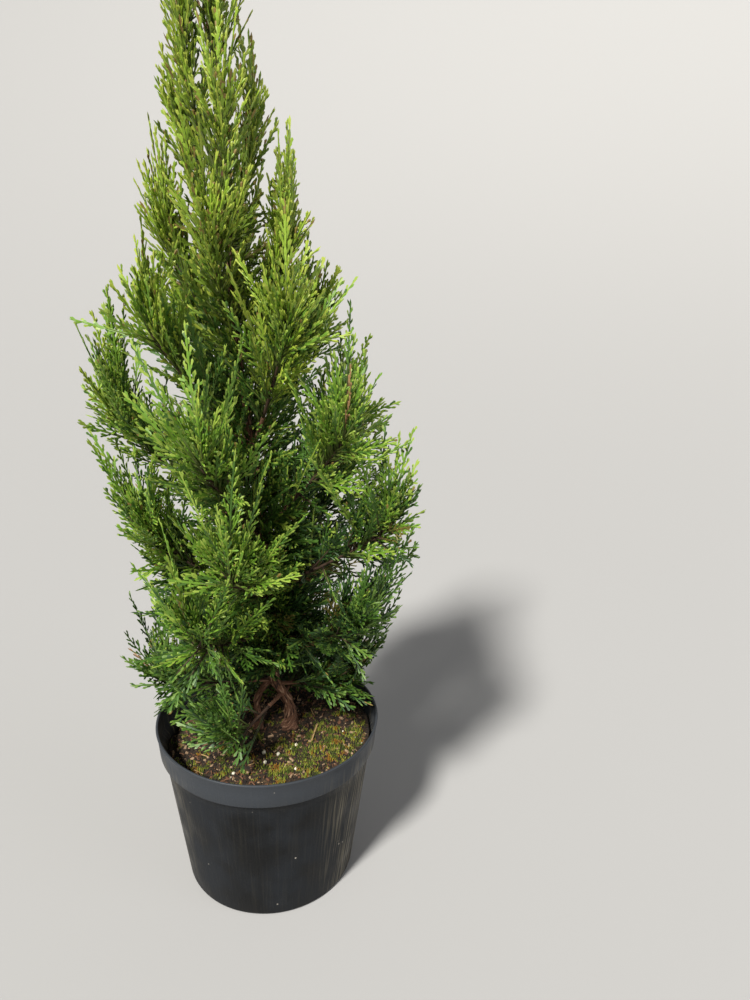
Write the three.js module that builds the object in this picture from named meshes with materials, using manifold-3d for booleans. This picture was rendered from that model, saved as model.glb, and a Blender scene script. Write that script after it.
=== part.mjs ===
// A young thuja, about 0.7 m tall, growing in a round black nursery pot of 5 litres.
// Millimetres, +Z up. The origin is the centre of the pot's flat underside.
// -Y is the side that is seen first, and +X is on that side's right.
import * as THREE from "three";
import { mergeVertices } from "three/addons/utils/BufferGeometryUtils.js";
import Module from "manifold-3d";

const wasm = await Module();
wasm.setup();

// Driving dimensions: the pot
const RIM_HEIGHT = 177;
const RIM_RADIUS = 112.5;
const BASE_RADIUS = 87.5;
const BAND_HEIGHT = 27;
const BAND_FOOT_RADIUS = 109.5;
const BODY_TOP_RADIUS = 105.5;
const WALL = 1.8;
const FLOOR = 2.5;
const FOOT_CHAMFER = 4;
const LIP = 2.6;
const LIP_STEP = 1.2;
const EDGE_DEPTH = 0.4;
const EDGE_HEIGHT = 1.5;
const DRAIN_COUNT = 6;
const DRAIN_RADIUS = 6;
const DRAIN_CIRCLE = 70;
const DRAIN_SIDES = 8;
const POT_SIDES = 40;

// Inside, the wall steps out to the thinner band from a little under the band's foot to a little over it.
const STEP_UNDER = 2;
const STEP_OVER = 4;
const BAND_THINNING = 0.6;

// Driving dimensions: the soil
const SOIL_DEPTH = 22;
const SOIL_LEVEL = RIM_HEIGHT - SOIL_DEPTH;
const SEAT_RADIUS = 36;
const SOIL_EDGE_DROP = 5;
const SOIL_TILT = 10;
const SOIL_HIGH_SIDE = -40;
const SOIL_SIDES = 28;
const SOIL_RINGS = [0.9, 0.68];
const ON_SURFACE = 1;

// Driving dimensions: the limbs. Two solids that meet keep this gap.
const GAP = 0.3;
const CLEAR = 1.2;

// The trunk's line and taper: height over the soil, x, y, radius.
const TRUNK = [
  [0, 22, 5, 9.5],
  [8, 22.5, 5, 6.6],
  [24, 21.5, 4, 5.4],
  [42, 15, 3, 5.0],
  [60, 7, 1, 4.8],
  [82, 4, 0, 4.6],
  [150, 3, 0, 4.3],
  [270, -6, 2, 3.7],
  [385, -19, 2, 3.0],
  [500, -25, 0, 2.3],
  [590, -30, -2, 1.7],
];
const TRUNK_SIDES = 8;
const TRUNK_STEPS = 20;
const CUT_WIDTH = 400;
const CUT_DEPTH = 100;

// The second stem leaves the soil beside the trunk and joins it in a low fork.
const SECOND_STEM = [
  [0, -11, 7, 6.0],
  [12, -11, 6, 3.6],
  [34, -12, 5, 3.2],
  [50, -5, 3, 3.0],
  [64, 6, 1, 2.8],
];
const SECOND_STEM_SIDES = 6;
const SECOND_STEM_STEPS = 7;

// Driving dimensions: the crown, whose heights are over the pot's rim.
// How far the foliage reaches from the trunk's line, from the rim up to the tip.
const CROWN_REACH = [
  [-25, 84],
  [20, 104],
  [70, 116],
  [150, 117],
  [215, 128],
  [290, 142],
  [330, 132],
  [400, 108],
  [450, 80],
  [520, 62],
  [590, 42],
  [660, 26],
  [712, 8],
];

// Where the crown is fuller or thinner than round: azimuth, height, height spread, share of the reach.
const CROWN_LOBES = [
  [180, 390, 55, 0.16],
  [0, 275, 50, 0.1],
  [190, 65, 60, 0.24],
  [10, 50, 70, -0.16],
  [180, 250, 45, -0.06],
  [347, 200, 75, 0.16],
  [350, 434, 26, 0.2],
];

// Each tier of foliage lies between two cones round the trunk: height on the trunk, and slope outwards.
const TIER_CONES = [
  [-12, -0.12],
  [70, 0.15],
  [108, 0.5],
  [158, 0.82],
  [232, 1.2],
  [314, 1.7],
  [410, 2.4],
  [480, 3.4],
];

// The tiers from the rim up. phase is the azimuth of the first mass, bough the share of its line
// that is bare, flat how level the sprays lie, lift how strongly the twigs turn up, open the least
// and the most that they lean away from the stem, in degrees, and longest the longest spray.
const TIERS = [
  { name: "skirt", masses: 6, phase: 180, bough: 0.24, flat: 0.7, lift: -0.1, open: [24, 80], longest: 84 },
  { name: "low", masses: 4, phase: 235, bough: 0.24, flat: 0.5, lift: 0.1, open: [24, 80], longest: 92 },
  { name: "middle", masses: 5, phase: 188, bough: 0.24, flat: 0.3, lift: 0.25, open: [24, 78], longest: 88 },
  { name: "shoulder", masses: 5, phase: 176, bough: 0.26, flat: 0.15, lift: 0.5, open: [20, 74], longest: 92 },
  { name: "upper", masses: 4, phase: 215, bough: 0.28, flat: 0.08, lift: 0.7, open: [16, 66], longest: 92 },
  { name: "high", masses: 4, phase: 170, bough: 0, flat: 0.05, lift: 0.8, open: [12, 56], longest: 74 },
  { name: "spire", masses: 3, phase: 30, bough: 0, flat: 0.05, lift: 0.8, open: [10, 50], longest: 60 },
];
const SPRAYS = 6;

// How far a mass may stand from the middle of its tier: its azimuth, as a share of its half width,
// and the height of its root between its two cones.
const AZIMUTH_PLAY = 0.3;
const ROOT_LOWEST = 0.35;
const ROOT_PLAY = 0.3;
const NEAREST_TIP = 20;
const FURTHEST_TIP = 200;
const SAG = 0.2;

// The azimuth at which the skirt is bare, so that the trunk's foot and the soil show.
const BARE_FOOT = 300;

// The two leaders over the last tier: one that rises beside the trunk, and the trunk's own.
// Their lines are rows of height over the rim, x, y and the half width of the space round them.
const SIDE_LEADER = [
  [500, -26, -1, 14],
  [540, -42, -3, 24],
  [580, -50, -4, 27],
  [640, -56, -4, 25],
  [708, -64, -2, 12],
];
const LEADER = [
  [568, -30, -2, 34],
  [620, -30, -2, 30],
  [660, -31, -2, 22],
  [692, -35, -1, 12],
];
const LEADER_RULE = { start: 0, flat: 0, lift: 0.7, open: [12, 46], longest: 60 };
const LEADER_SPRAYS = 8;

// The room that the foliage leaves round the trunk, over the pot's rim and over the soil
const OVER_BARK = 1;
const OVER_REACH = 1;
const RIM_ZONE = 9;
const OVER_RIM = 5;
const OVER_SOIL = 4;

// Sizes of what a mass is made of
const BOUGH_RADIUS = 2.4;
const BOUGH_TIP_RADIUS = 1.7;
const BOUGH_SIDES = 4;
const BOUGH_STEPS = 3;
const STEM_RADIUS = 1.6;
const STEM_TIP_RADIUS = 0.9;
const STEM_END = 0.68;
const STEM_SIDES = 4;
const STEM_STEPS = 3;
const TWIG_RADIUS = 1.0;
const REACH_MARGIN = 1.06;
const SPRAY_SHORTEST = 20;
const SPRAY_SHRINK = 0.84;
const SPRAY_WIDTH_SHARE = 0.64;
const SPRAY_THICKNESS = 2.4;
const SMALL_SPRAY = 58;

// The outline of a spray, in shares of its length: its rib's foot and its last tooth, the rib that
// runs on past it, how far a tooth points forwards, and how deep the notches are.
const RIB_FOOT = 0.1;
const LAST_TOOTH = 0.95;
const RIB_END = 0.35;
const TOOTH_FORWARD = 1.15;
const NOTCH_SHARE = 0.06;

// The teeth follow half a sine wave, from the first share of it over the second.
const TEETH_FROM = 0.32;
const TEETH_OVER = 0.5;

// How the twigs of a mass stand: the first and last on the stem, the last one's lean in degrees, the
// share of the tier's lift that each takes, and how far a spray turns about its own line.
const FIRST_TWIG = 0.3;
const LAST_TWIG = 0.97;
const LAST_TWIG_OPEN = [0, 12];
const LEAST_LIFT = 0.2;
const LIFT_PLAY = 0.6;
const SPIN = 80;
const TWIG_TRIES = 10;
const CROWDED = 44;
const TWIG_SHARE = 0.2;
const TWIG_ROOT = 4;
const TWIG_END = 1;
const SHORTEST_REACH = 0.55;
const SPRAY_MARKS = [0.3, 0.65, 1];

// Small numbers for the work on solids: the distance under which corners are one, the volume over
// which solids touch, and how far ahead a line is read for its direction.
const ONE_CORNER = 1e-4;
const TOUCHING = 1e-6;
const AHEAD_ON_LIMB = 0.01;
const AHEAD_ON_STEM = 0.02;

const UP = new THREE.Vector3(0, 0, 1);
const radians = THREE.MathUtils.degToRad;

const MATERIALS = {
  pot: new THREE.MeshStandardMaterial({ name: "pot", color: 0x24262a, roughness: 0.55 }),
  soil: new THREE.MeshStandardMaterial({ name: "soil", color: 0x3b2a1e, roughness: 0.95 }),
  bark: new THREE.MeshStandardMaterial({ name: "bark", color: 0x6a4535, roughness: 0.9 }),
  foliage: new THREE.MeshStandardMaterial({ name: "foliage", color: 0x4f7a1f, roughness: 0.6 }),
};

const plant = new THREE.Group();

// A closed geometry as a solid that can be joined and cut.
function solid(geometry) {
  const bare = geometry.index ? geometry.toNonIndexed() : geometry.clone();
  const shape = new THREE.BufferGeometry().setAttribute("position", bare.getAttribute("position"));
  const merged = mergeVertices(shape, ONE_CORNER);
  return new wasm.Manifold(
    new wasm.Mesh({
      numProp: 3,
      vertProperties: merged.attributes.position.array,
      triVerts: new Uint32Array(merged.index.array),
    }),
  );
}

// Adds a solid to the plant as one named mesh, without the loose scraps that a cut can leave.
function place(name, shape, material) {
  const whole = shape
    .decompose()
    .reduce((best, piece) => (piece.volume() > best.volume() ? piece : best));
  const made = whole.getMesh();
  const width = made.numProp;
  const positions = new Float32Array(made.numVert * 3);
  for (let i = 0; i < made.numVert; i++) {
    positions.set(made.vertProperties.subarray(i * width, i * width + 3), i * 3);
  }
  const geometry = new THREE.BufferGeometry()
    .setAttribute("position", new THREE.BufferAttribute(positions, 3))
    .setIndex(new THREE.BufferAttribute(made.triVerts, 1));
  geometry.computeVertexNormals();
  const mesh = new THREE.Mesh(geometry, material);
  mesh.name = name;
  plant.add(mesh);
  return whole;
}

// A smooth curve through rows of a table, read at one value of its first column.
function along(rows, at, column) {
  const last = rows.length - 1;
  if (at <= rows[0][0]) return rows[0][column];
  if (at >= rows[last][0]) return rows[last][column];
  const i = rows.findIndex((row) => row[0] > at) - 1;
  const slope = (k) => {
    const before = rows[Math.max(k - 1, 0)];
    const after = rows[Math.min(k + 1, last)];
    return (after[column] - before[column]) / (after[0] - before[0]);
  };
  const span = rows[i + 1][0] - rows[i][0];
  const t = (at - rows[i][0]) / span;
  const bend = t * t * (3 - 2 * t);
  const leaving = (t - 2 * t * t + t * t * t) * span * slope(i);
  const arriving = (t * t * t - t * t) * span * slope(i + 1);
  return rows[i][column] * (1 - bend) + rows[i + 1][column] * bend + leaving + arriving;
}

// A number from 0 to 1 that is always the same for the same mass, twig and use.
function chance(mass, twig, use) {
  const wave = Math.sin(mass * 127.1 + twig * 311.7 + use * 74.7) * 43758.5453;
  return wave - Math.floor(wave);
}

// The trunk's line at a height over the rim.
function trunkLine(height) {
  const over = height + SOIL_DEPTH;
  return new THREE.Vector3(along(TRUNK, over, 1), along(TRUNK, over, 2), height + RIM_HEIGHT);
}

// The point at a distance from the trunk's line, at an azimuth and a height over the rim.
function fromTrunk(away, azimuth, height) {
  const point = trunkLine(height);
  point.x += away * Math.cos(radians(azimuth));
  point.y += away * Math.sin(radians(azimuth));
  return point;
}

// How far the crown reaches at an azimuth and a height over the rim.
function reachAt(azimuth, height) {
  const round = along(CROWN_REACH, height, 1);
  const lobes = CROWN_LOBES.reduce((sum, [side, level, spread, share]) => {
    const facing = Math.max(0, Math.cos(radians(azimuth - side)));
    return sum + share * facing * facing * Math.exp(-(((height - level) / spread) ** 2));
  }, 0);
  return round * (1 + lobes);
}

// The height of a tier's cone at a distance from the trunk.
function coneHeight(cone, away) {
  return TIER_CONES[cone][0] + TIER_CONES[cone][1] * away;
}

// A closed round limb that tapers along a line. lineAt and radiusAt take a share from 0 to 1.
function limb(lineAt, radiusAt, sides, steps) {
  const tube = new THREE.CylinderGeometry(1, 1, 1, sides, steps);
  const places = tube.getAttribute("position");
  for (let i = 0; i < places.count; i++) {
    const share = places.getY(i) + 0.5;
    const here = lineAt(share);
    const ahead = lineAt(share + AHEAD_ON_LIMB)
      .sub(lineAt(share - AHEAD_ON_LIMB))
      .normalize();
    const out = new THREE.Vector3(1, 0, 0).addScaledVector(ahead, -ahead.x).normalize();
    const side = new THREE.Vector3().crossVectors(ahead, out);
    const radius = radiusAt(share);
    here.addScaledVector(out, places.getX(i) * radius);
    here.addScaledVector(side, -places.getZ(i) * radius);
    places.setXYZ(i, here.x, here.y, here.z);
  }
  return solid(tube);
}

// Half of one edge of a flat spray on its twig, as rows of [along, across, thick] from the root to
// the tip: a slim twig, then a rib with teeth that point forwards, as a thuja's side shoots do.
function sprayRows(run, size) {
  const teeth = size > SMALL_SPRAY ? 3 : 2;
  const width = size * SPRAY_WIDTH_SHARE;
  const pitch = (LAST_TOOTH - RIB_FOOT) / (teeth + RIB_END);
  const twig = Math.max(2 * TWIG_RADIUS, run + RIB_FOOT * size - 2 * TWIG_RADIUS);
  const foot = Math.min(2 * TWIG_RADIUS, twig - TWIG_RADIUS);
  const rows = [{ along: foot, notch: TWIG_RADIUS, rib: TWIG_RADIUS }];
  for (let i = 0; i <= teeth; i++) {
    const share = RIB_FOOT + pitch * i;
    const full = Math.sin(Math.PI * (TEETH_FROM + (TEETH_OVER * i) / teeth));
    const point = [run + (share + pitch * TOOTH_FORWARD) * size, (width / 2) * full];
    rows.push({
      along: run + share * size,
      notch: TWIG_RADIUS + width * NOTCH_SHARE,
      rib: (SPRAY_THICKNESS / 2) * (1 - share / 2),
      tooth: i < teeth ? point : null,
    });
  }
  return rows;
}

// A flat toothed spray on its twig, closed, from its root along +X and level in XY.
function sprayGeometry(run, size) {
  const rows = sprayRows(run, size);
  const faces = [];
  for (const side of [1, -1]) {
    for (const face of [1, -1]) {
      const at = ([x, y, z]) => [x, y * side, z * face];
      const add = (a, b, c) =>
        faces.push(...(side * face > 0 ? [at(a), at(c), at(b)] : [at(a), at(b), at(c)]));
      const rib = (row) => [row.along, 0, row.rib];
      const notch = (row) => [row.along, row.notch, 0];
      add([0, 0, 0], notch(rows[0]), rib(rows[0]));
      for (let i = 0; i < rows.length - 1; i++) {
        const here = rows[i];
        const next = rows[i + 1];
        if (here.tooth) {
          const tooth = [...here.tooth, 0];
          add(rib(here), notch(here), tooth);
          add(rib(here), tooth, notch(next));
        } else {
          add(rib(here), notch(here), notch(next));
        }
        add(rib(here), notch(next), rib(next));
      }
      const last = rows[rows.length - 1];
      add(rib(last), notch(last), [run + size, 0, 0]);
    }
  }
  return new THREE.BufferGeometry().setAttribute(
    "position",
    new THREE.BufferAttribute(new Float32Array(faces.flat()), 3),
  );
}

// The pot: a thin tapered wall, a band under the rim, a rolled lip and drain holes in the floor.
function makePot() {
  const inner = (z) =>
    THREE.MathUtils.lerp(BASE_RADIUS, BODY_TOP_RADIUS, z / (RIM_HEIGHT - BAND_HEIGHT)) - WALL;
  const bandFoot = RIM_HEIGHT - BAND_HEIGHT;
  const outline = [
    [0, 0],
    [BASE_RADIUS - FOOT_CHAMFER, 0],
    [BASE_RADIUS, FOOT_CHAMFER],
    [BODY_TOP_RADIUS, bandFoot],
    [BAND_FOOT_RADIUS, bandFoot],
    [BAND_FOOT_RADIUS + EDGE_DEPTH, bandFoot + EDGE_HEIGHT],
    [RIM_RADIUS - LIP_STEP, RIM_HEIGHT - LIP - EDGE_HEIGHT],
    [RIM_RADIUS, RIM_HEIGHT - LIP],
    [RIM_RADIUS - EDGE_DEPTH, RIM_HEIGHT],
    [RIM_RADIUS - LIP, RIM_HEIGHT],
    [BAND_FOOT_RADIUS - WALL + BAND_THINNING, bandFoot + STEP_OVER],
    [inner(bandFoot), bandFoot - STEP_UNDER],
    [inner(FLOOR + FOOT_CHAMFER), FLOOR + FOOT_CHAMFER],
    [inner(FLOOR) - FOOT_CHAMFER, FLOOR],
    [0, FLOOR],
  ].map(([r, z]) => new THREE.Vector2(r, z));
  const shell = new THREE.LatheGeometry(outline, POT_SIDES);
  shell.rotateX(Math.PI / 2);
  let pot = solid(shell);
  if (pot.volume() < 0) throw new Error("the pot's outline runs the wrong way round");
  for (let i = 0; i < DRAIN_COUNT; i++) {
    const turn = ((i + 0.5) * 2 * Math.PI) / DRAIN_COUNT;
    const hole = new THREE.CylinderGeometry(DRAIN_RADIUS, DRAIN_RADIUS, 4 * FLOOR, DRAIN_SIDES);
    hole.rotateX(Math.PI / 2);
    hole.translate(DRAIN_CIRCLE * Math.cos(turn), DRAIN_CIRCLE * Math.sin(turn), 0);
    pot = pot.subtract(solid(hole));
  }
  return { pot, inner };
}

// The height of the soil over the underside of the pot: level round the stems, and
// falling or rising to the wall beyond them.
function soilTop(x, y) {
  const away = Math.hypot(x, y);
  const share = THREE.MathUtils.clamp((away - SEAT_RADIUS) / (RIM_RADIUS - WALL - SEAT_RADIUS), 0, 1);
  const turn = Math.atan2(y, x) - radians(SOIL_HIGH_SIDE);
  return SOIL_LEVEL + share * (SOIL_TILT * Math.cos(turn) - SOIL_EDGE_DROP);
}

function makeSoil(inner) {
  const wall = (z) => inner(z) - GAP;
  const floor = FLOOR + GAP;
  const corner = FLOOR + FOOT_CHAMFER + GAP;
  const outline = [
    [0, floor],
    [inner(FLOOR) - FOOT_CHAMFER - GAP, floor],
    [wall(corner), corner],
    [wall(SOIL_LEVEL), SOIL_LEVEL],
    ...SOIL_RINGS.map((share) => [wall(SOIL_LEVEL) * share, SOIL_LEVEL]),
    [SEAT_RADIUS, SOIL_LEVEL],
    [0, SOIL_LEVEL],
  ].map(([r, z]) => new THREE.Vector2(r, z));
  const body = new THREE.LatheGeometry(outline, SOIL_SIDES);
  body.rotateX(Math.PI / 2);
  const places = body.getAttribute("position");
  for (let i = 0; i < places.count; i++) {
    if (places.getZ(i) < SOIL_LEVEL - ON_SURFACE) continue;
    const away = Math.hypot(places.getX(i), places.getY(i));
    const level = soilTop(places.getX(i), places.getY(i));
    const edge = away > wall(SOIL_LEVEL) - ON_SURFACE;
    const pull = edge ? Math.min(1, wall(level) / away) : 1;
    places.setXYZ(i, places.getX(i) * pull, places.getY(i) * pull, level);
  }
  return solid(body);
}

// A limb that follows rows of [height over the soil, x, y, radius], grown by a margin.
function standingLimb(rows, sides, steps, margin) {
  const first = rows[0][0];
  const last = rows[rows.length - 1][0];
  const at = (share) => first + (last - first) * share;
  const lineAt = (share) => {
    const over = at(share);
    return new THREE.Vector3(along(rows, over, 1), along(rows, over, 2), SOIL_LEVEL + GAP + over);
  };
  return limb(lineAt, (share) => along(rows, at(share), 3) + margin, sides, steps);
}

// The foot of a standing limb is cut flat, level with the soil.
function cutFlat(shape) {
  const block = new THREE.BoxGeometry(CUT_WIDTH, CUT_WIDTH, CUT_DEPTH);
  block.translate(0, 0, SOIL_LEVEL + GAP - CUT_DEPTH / 2);
  return shape.subtract(solid(block));
}

// Every mass of foliage as a plan: where its bough leaves the trunk, its line, and the space it keeps to.
function planMasses() {
  const plans = [];
  TIERS.forEach((tier, level) => {
    for (let k = 0; k < tier.masses; k++) {
      const index = plans.length;
      const half = 180 / tier.masses;
      const middle = tier.phase + 2 * half * k;
      if (level === 0 && middle === BARE_FOOT) continue;
      const azimuth = middle + (chance(index, 0, 1) - 0.5) * AZIMUTH_PLAY * half;
      const root = THREE.MathUtils.lerp(
        TIER_CONES[level][0],
        TIER_CONES[level + 1][0],
        ROOT_LOWEST + ROOT_PLAY * chance(index, 0, 2),
      );
      const slope = (TIER_CONES[level][1] + TIER_CONES[level + 1][1]) / 2;
      const heightAt = (away) => root + slope * away;
      let tip = NEAREST_TIP;
      while (tip < REACH_MARGIN * reachAt(azimuth, heightAt(tip)) && tip < FURTHEST_TIP) tip += 1;
      const rise = slope * tip;
      const lineAt = (share) =>
        fromTrunk(tip * share, azimuth, root + rise * share * (1 - SAG + SAG * share));
      const start = tier.bough;
      plans.push({ ...tier, index, level, k, half, middle, lineAt, start, sprays: SPRAYS });
    }
  });
  return plans;
}

// The plan of a leader, whose space is a slim tube round its own line.
function planLeader(name, rows, index) {
  const first = rows[0][0];
  const last = rows[rows.length - 1][0];
  const pointAt = (height) =>
    new THREE.Vector3(along(rows, height, 1), along(rows, height, 2), RIM_HEIGHT + height);
  const lineAt = (share) => pointAt(first + (last - first) * share);
  const holds = (point, margin) => {
    const height = point.z - RIM_HEIGHT;
    const away = pointAt(height).distanceTo(point);
    return height < last + OVER_REACH && away < along(rows, height, 3) - margin;
  };
  return { ...LEADER_RULE, name, index, holds, lineAt, sprays: LEADER_SPRAYS };
}

// Whether a point lies in the space of a mass, at least a margin inside it.
function inSpace(plan, point, margin) {
  if (plan.holds) return plan.holds(point, margin);
  const height = point.z - RIM_HEIGHT;
  const axis = trunkLine(height);
  const dx = point.x - axis.x;
  const dy = point.y - axis.y;
  const away = Math.hypot(dx, dy);
  const azimuth = THREE.MathUtils.radToDeg(Math.atan2(dy, dx));
  const turned = THREE.MathUtils.euclideanModulo(azimuth - plan.middle + 180, 360) - 180;
  const toSide = plan.half - Math.abs(turned);
  if (plan.half < 180 && away * Math.sin(radians(Math.min(90, toSide))) < margin) return false;
  const steep = (cone) => Math.cos(Math.atan(TIER_CONES[cone][1]));
  if ((height - coneHeight(plan.level, away)) * steep(plan.level) < margin) return false;
  const roof = plan.level + 1;
  if (roof < TIER_CONES.length && (coneHeight(roof, away) - height) * steep(roof) < margin) return false;
  if (away > REACH_MARGIN * reachAt(azimuth, height) + OVER_REACH) return false;
  if (away < along(TRUNK, height + SOIL_DEPTH, 3) + margin + OVER_BARK) return false;
  const fromPot = Math.hypot(point.x, point.y);
  const overSoil = point.z - soilTop(point.x, point.y);
  if (fromPot < RIM_RADIUS - RIM_ZONE) return overSoil > OVER_SOIL;
  return height > OVER_RIM;
}

// One way that a twig may take from its stem: forwards and to one side, turned up by the tier's lift.
// The last twig runs on from the stem's end.
function twigWay(plan, twig, attempt) {
  const luck = (use) => chance(plan.index, twig, 10 * attempt + use);
  const straight = twig === plan.sprays - 1;
  const onStem = STEM_END * (straight ? LAST_TWIG : (twig + FIRST_TWIG) / (plan.sprays - 1));
  const share = plan.start + (1 - plan.start) * onStem;
  const from = plan.lineAt(share);
  const ahead = plan
    .lineAt(share + AHEAD_ON_STEM)
    .sub(plan.lineAt(share - AHEAD_ON_STEM))
    .normalize();
  const side = new THREE.Vector3().crossVectors(UP, ahead).normalize();
  const over = new THREE.Vector3().crossVectors(ahead, side);
  const turn = 2 * Math.PI * luck(1);
  const [least, most] = straight ? LAST_TWIG_OPEN : plan.open;
  const open = radians(THREE.MathUtils.lerp(least, most, luck(2)));
  const lift = straight ? 0 : plan.lift * (LEAST_LIFT + LIFT_PLAY * luck(3));
  const way = ahead
    .multiplyScalar(Math.cos(open))
    .addScaledVector(side, Math.cos(turn) * Math.sin(open))
    .addScaledVector(over, Math.sin(turn) * Math.sin(open))
    .addScaledVector(UP, lift)
    .normalize();
  const level = new THREE.Vector3().crossVectors(way, UP).normalize();
  const spin = radians(SPIN * (luck(4) - 0.5));
  const normal = level.applyAxisAngle(way, spin + (plan.flat * Math.PI) / 2);
  return { from, way, normal };
}

// How far a twig can run before it leaves the space of its mass.
function freeRun(plan, { from, way }) {
  const step = 3;
  const most = plan.longest * (1 + TWIG_SHARE);
  const probe = from.clone();
  let free = 0;
  while (free < most && inSpace(plan, probe.addScaledVector(way, step), CLEAR)) free += step;
  return free;
}

// A spray set at a point, with its length along a way and its flat face across a normal.
function setSpray(geometry, at, way, normal) {
  const width = new THREE.Vector3().crossVectors(normal, way).normalize();
  const face = new THREE.Vector3().crossVectors(way, width);
  const frame = new THREE.Matrix4().makeBasis(way, width, face).setPosition(at);
  return geometry.applyMatrix4(frame);
}

// Whether every corner of a geometry but those near its root lies in a mass's space.
function fits(plan, geometry, root) {
  const places = geometry.getAttribute("position");
  const corner = new THREE.Vector3();
  for (let i = 0; i < places.count; i++) {
    corner.fromBufferAttribute(places, i);
    if (corner.distanceTo(root) > TWIG_ROOT && !inSpace(plan, corner, CLEAR)) return false;
  }
  return true;
}

// The longest spray that fits on a twig, or null. Every other twig ends short of the crown's edge.
function sprayFor(plan, twig, full) {
  const reach = (freeRun(plan, twig) - TWIG_END) * full;
  const wished = Math.min(reach * (1 - TWIG_SHARE), plan.longest);
  for (let size = wished; size >= SPRAY_SHORTEST; size *= SPRAY_SHRINK) {
    const geometry = sprayGeometry(reach - size, size);
    setSpray(geometry, twig.from, twig.way, twig.normal);
    if (!fits(plan, geometry, twig.from)) continue;
    const points = SPRAY_MARKS.map((share) =>
      twig.from.clone().addScaledVector(twig.way, reach - size * (1 - share)),
    );
    return { geometry, size, points };
  }
  return null;
}

// How far apart two sprays are, at their nearest points.
function between(one, other) {
  return Math.min(...one.points.flatMap((a) => other.points.map((b) => a.distanceTo(b))));
}

// The best of several tries at a twig: a long spray that isn't crowded by those before it.
function bestSpray(plan, twig, grown) {
  let best = null;
  for (let attempt = 0; attempt < TWIG_TRIES; attempt++) {
    const inner = twig % 2 === 1 && twig < plan.sprays - 1;
    const full = inner ? THREE.MathUtils.lerp(SHORTEST_REACH, 1, chance(plan.index, twig, 5)) : 1;
    const found = sprayFor(plan, twigWay(plan, twig, attempt), full);
    if (!found) continue;
    const nearest = Math.min(CROWDED, ...grown.map((one) => between(one, found)));
    found.score = found.size * (nearest / CROWDED) ** 2;
    if (!best || found.score > best.score) best = found;
  }
  return best;
}

// Whether a solid touches none of the others.
function touchesNone(shape, others) {
  const box = shape.boundingBox();
  return others.every((other) => {
    const far = other.boundingBox();
    for (let i = 0; i < 3; i++) {
      if (box.max[i] < far.min[i] || far.max[i] < box.min[i]) return true;
    }
    return shape.intersect(other).volume() < TOUCHING;
  });
}

// One mass of foliage: its stem, and twigs that end in flat sprays, fused together.
function makeMass(plan, obstacles) {
  const first = plan.start;
  const seat = GAP / plan.lineAt(first).distanceTo(plan.lineAt(1));
  const stemLine = (share) => plan.lineAt(first + (1 - first) * (seat + STEM_END * share));
  const taper = (share) => THREE.MathUtils.lerp(STEM_RADIUS, STEM_TIP_RADIUS, share);
  let mass = limb(stemLine, taper, STEM_SIDES, STEM_STEPS);
  const grown = [];
  for (let i = 0; i < plan.sprays; i++) {
    const found = bestSpray(plan, i, grown);
    if (!found) continue;
    const spray = solid(found.geometry);
    if (!touchesNone(spray, obstacles)) continue;
    mass = mass.add(spray);
    grown.push(found);
  }
  return mass;
}

// The pot, the soil and the two stems
const { pot, inner } = makePot();
place("pot", pot, MATERIALS.pot);
place("soil", makeSoil(inner), MATERIALS.soil);
const trunkRoom = standingLimb(TRUNK, TRUNK_SIDES, TRUNK_STEPS, GAP);
const secondSize = [SECOND_STEM_SIDES, SECOND_STEM_STEPS];
const secondRoom = standingLimb(SECOND_STEM, ...secondSize, GAP);
place("trunk", cutFlat(standingLimb(TRUNK, TRUNK_SIDES, TRUNK_STEPS, 0)), MATERIALS.bark);
const second = cutFlat(standingLimb(SECOND_STEM, ...secondSize, 0)).subtract(trunkRoom);
place("second_stem", second, MATERIALS.bark);

// The boughs of each tier, cut to seat on the stem that carries them
const plans = planMasses();
const limbs = [trunkRoom, secondRoom];
for (const plan of plans) {
  if (!plan.bough) continue;
  const line = (share) => plan.lineAt(plan.bough * share);
  const taper = (share) => THREE.MathUtils.lerp(BOUGH_RADIUS, BOUGH_TIP_RADIUS, share);
  const bough = limb(line, taper, BOUGH_SIDES, BOUGH_STEPS).subtract(trunkRoom).subtract(secondRoom);
  limbs.push(place(`${plan.name}_bough_${plan.k + 1}`, bough, MATERIALS.bark));
}

// The masses of foliage: the two leaders first, and then the tiers round them
const masses = [];
function growMass(plan, name) {
  const mass = makeMass(plan, [...limbs, ...masses]).subtract(trunkRoom);
  masses.push(place(name, mass, MATERIALS.foliage));
}
growMass(planLeader("side_leader", SIDE_LEADER, plans.length), "side_leader_foliage");
growMass(planLeader("leader", LEADER, plans.length + 1), "leader_foliage");
for (const plan of plans) growMass(plan, `${plan.name}_foliage_${plan.k + 1}`);

export default plant;
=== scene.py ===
"""A young thuja in a round black nursery pot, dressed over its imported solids.

The crown grows by the same seeded rule as the solids: each mass of foliage keeps to its own
space, and its twigs carry flat sprays. Here every spray is carried on to its scale-leaf shoots.
Lengths are millimetres in this script, and MM turns them into the metres of the scene.
"""

import sys

import logging
import math
from collections.abc import Callable, Sequence
from dataclasses import dataclass, field
from enum import Enum

import bmesh
import bpy
import numpy as np
from bmesh.types import BMEdge, BMesh, BMVert
from bpy.types import ID, Material, Mesh, Node, NodeSocket, NodeTree, Object
from mathutils import Matrix, Vector, noise
from numpy.random import Generator, default_rng


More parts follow.
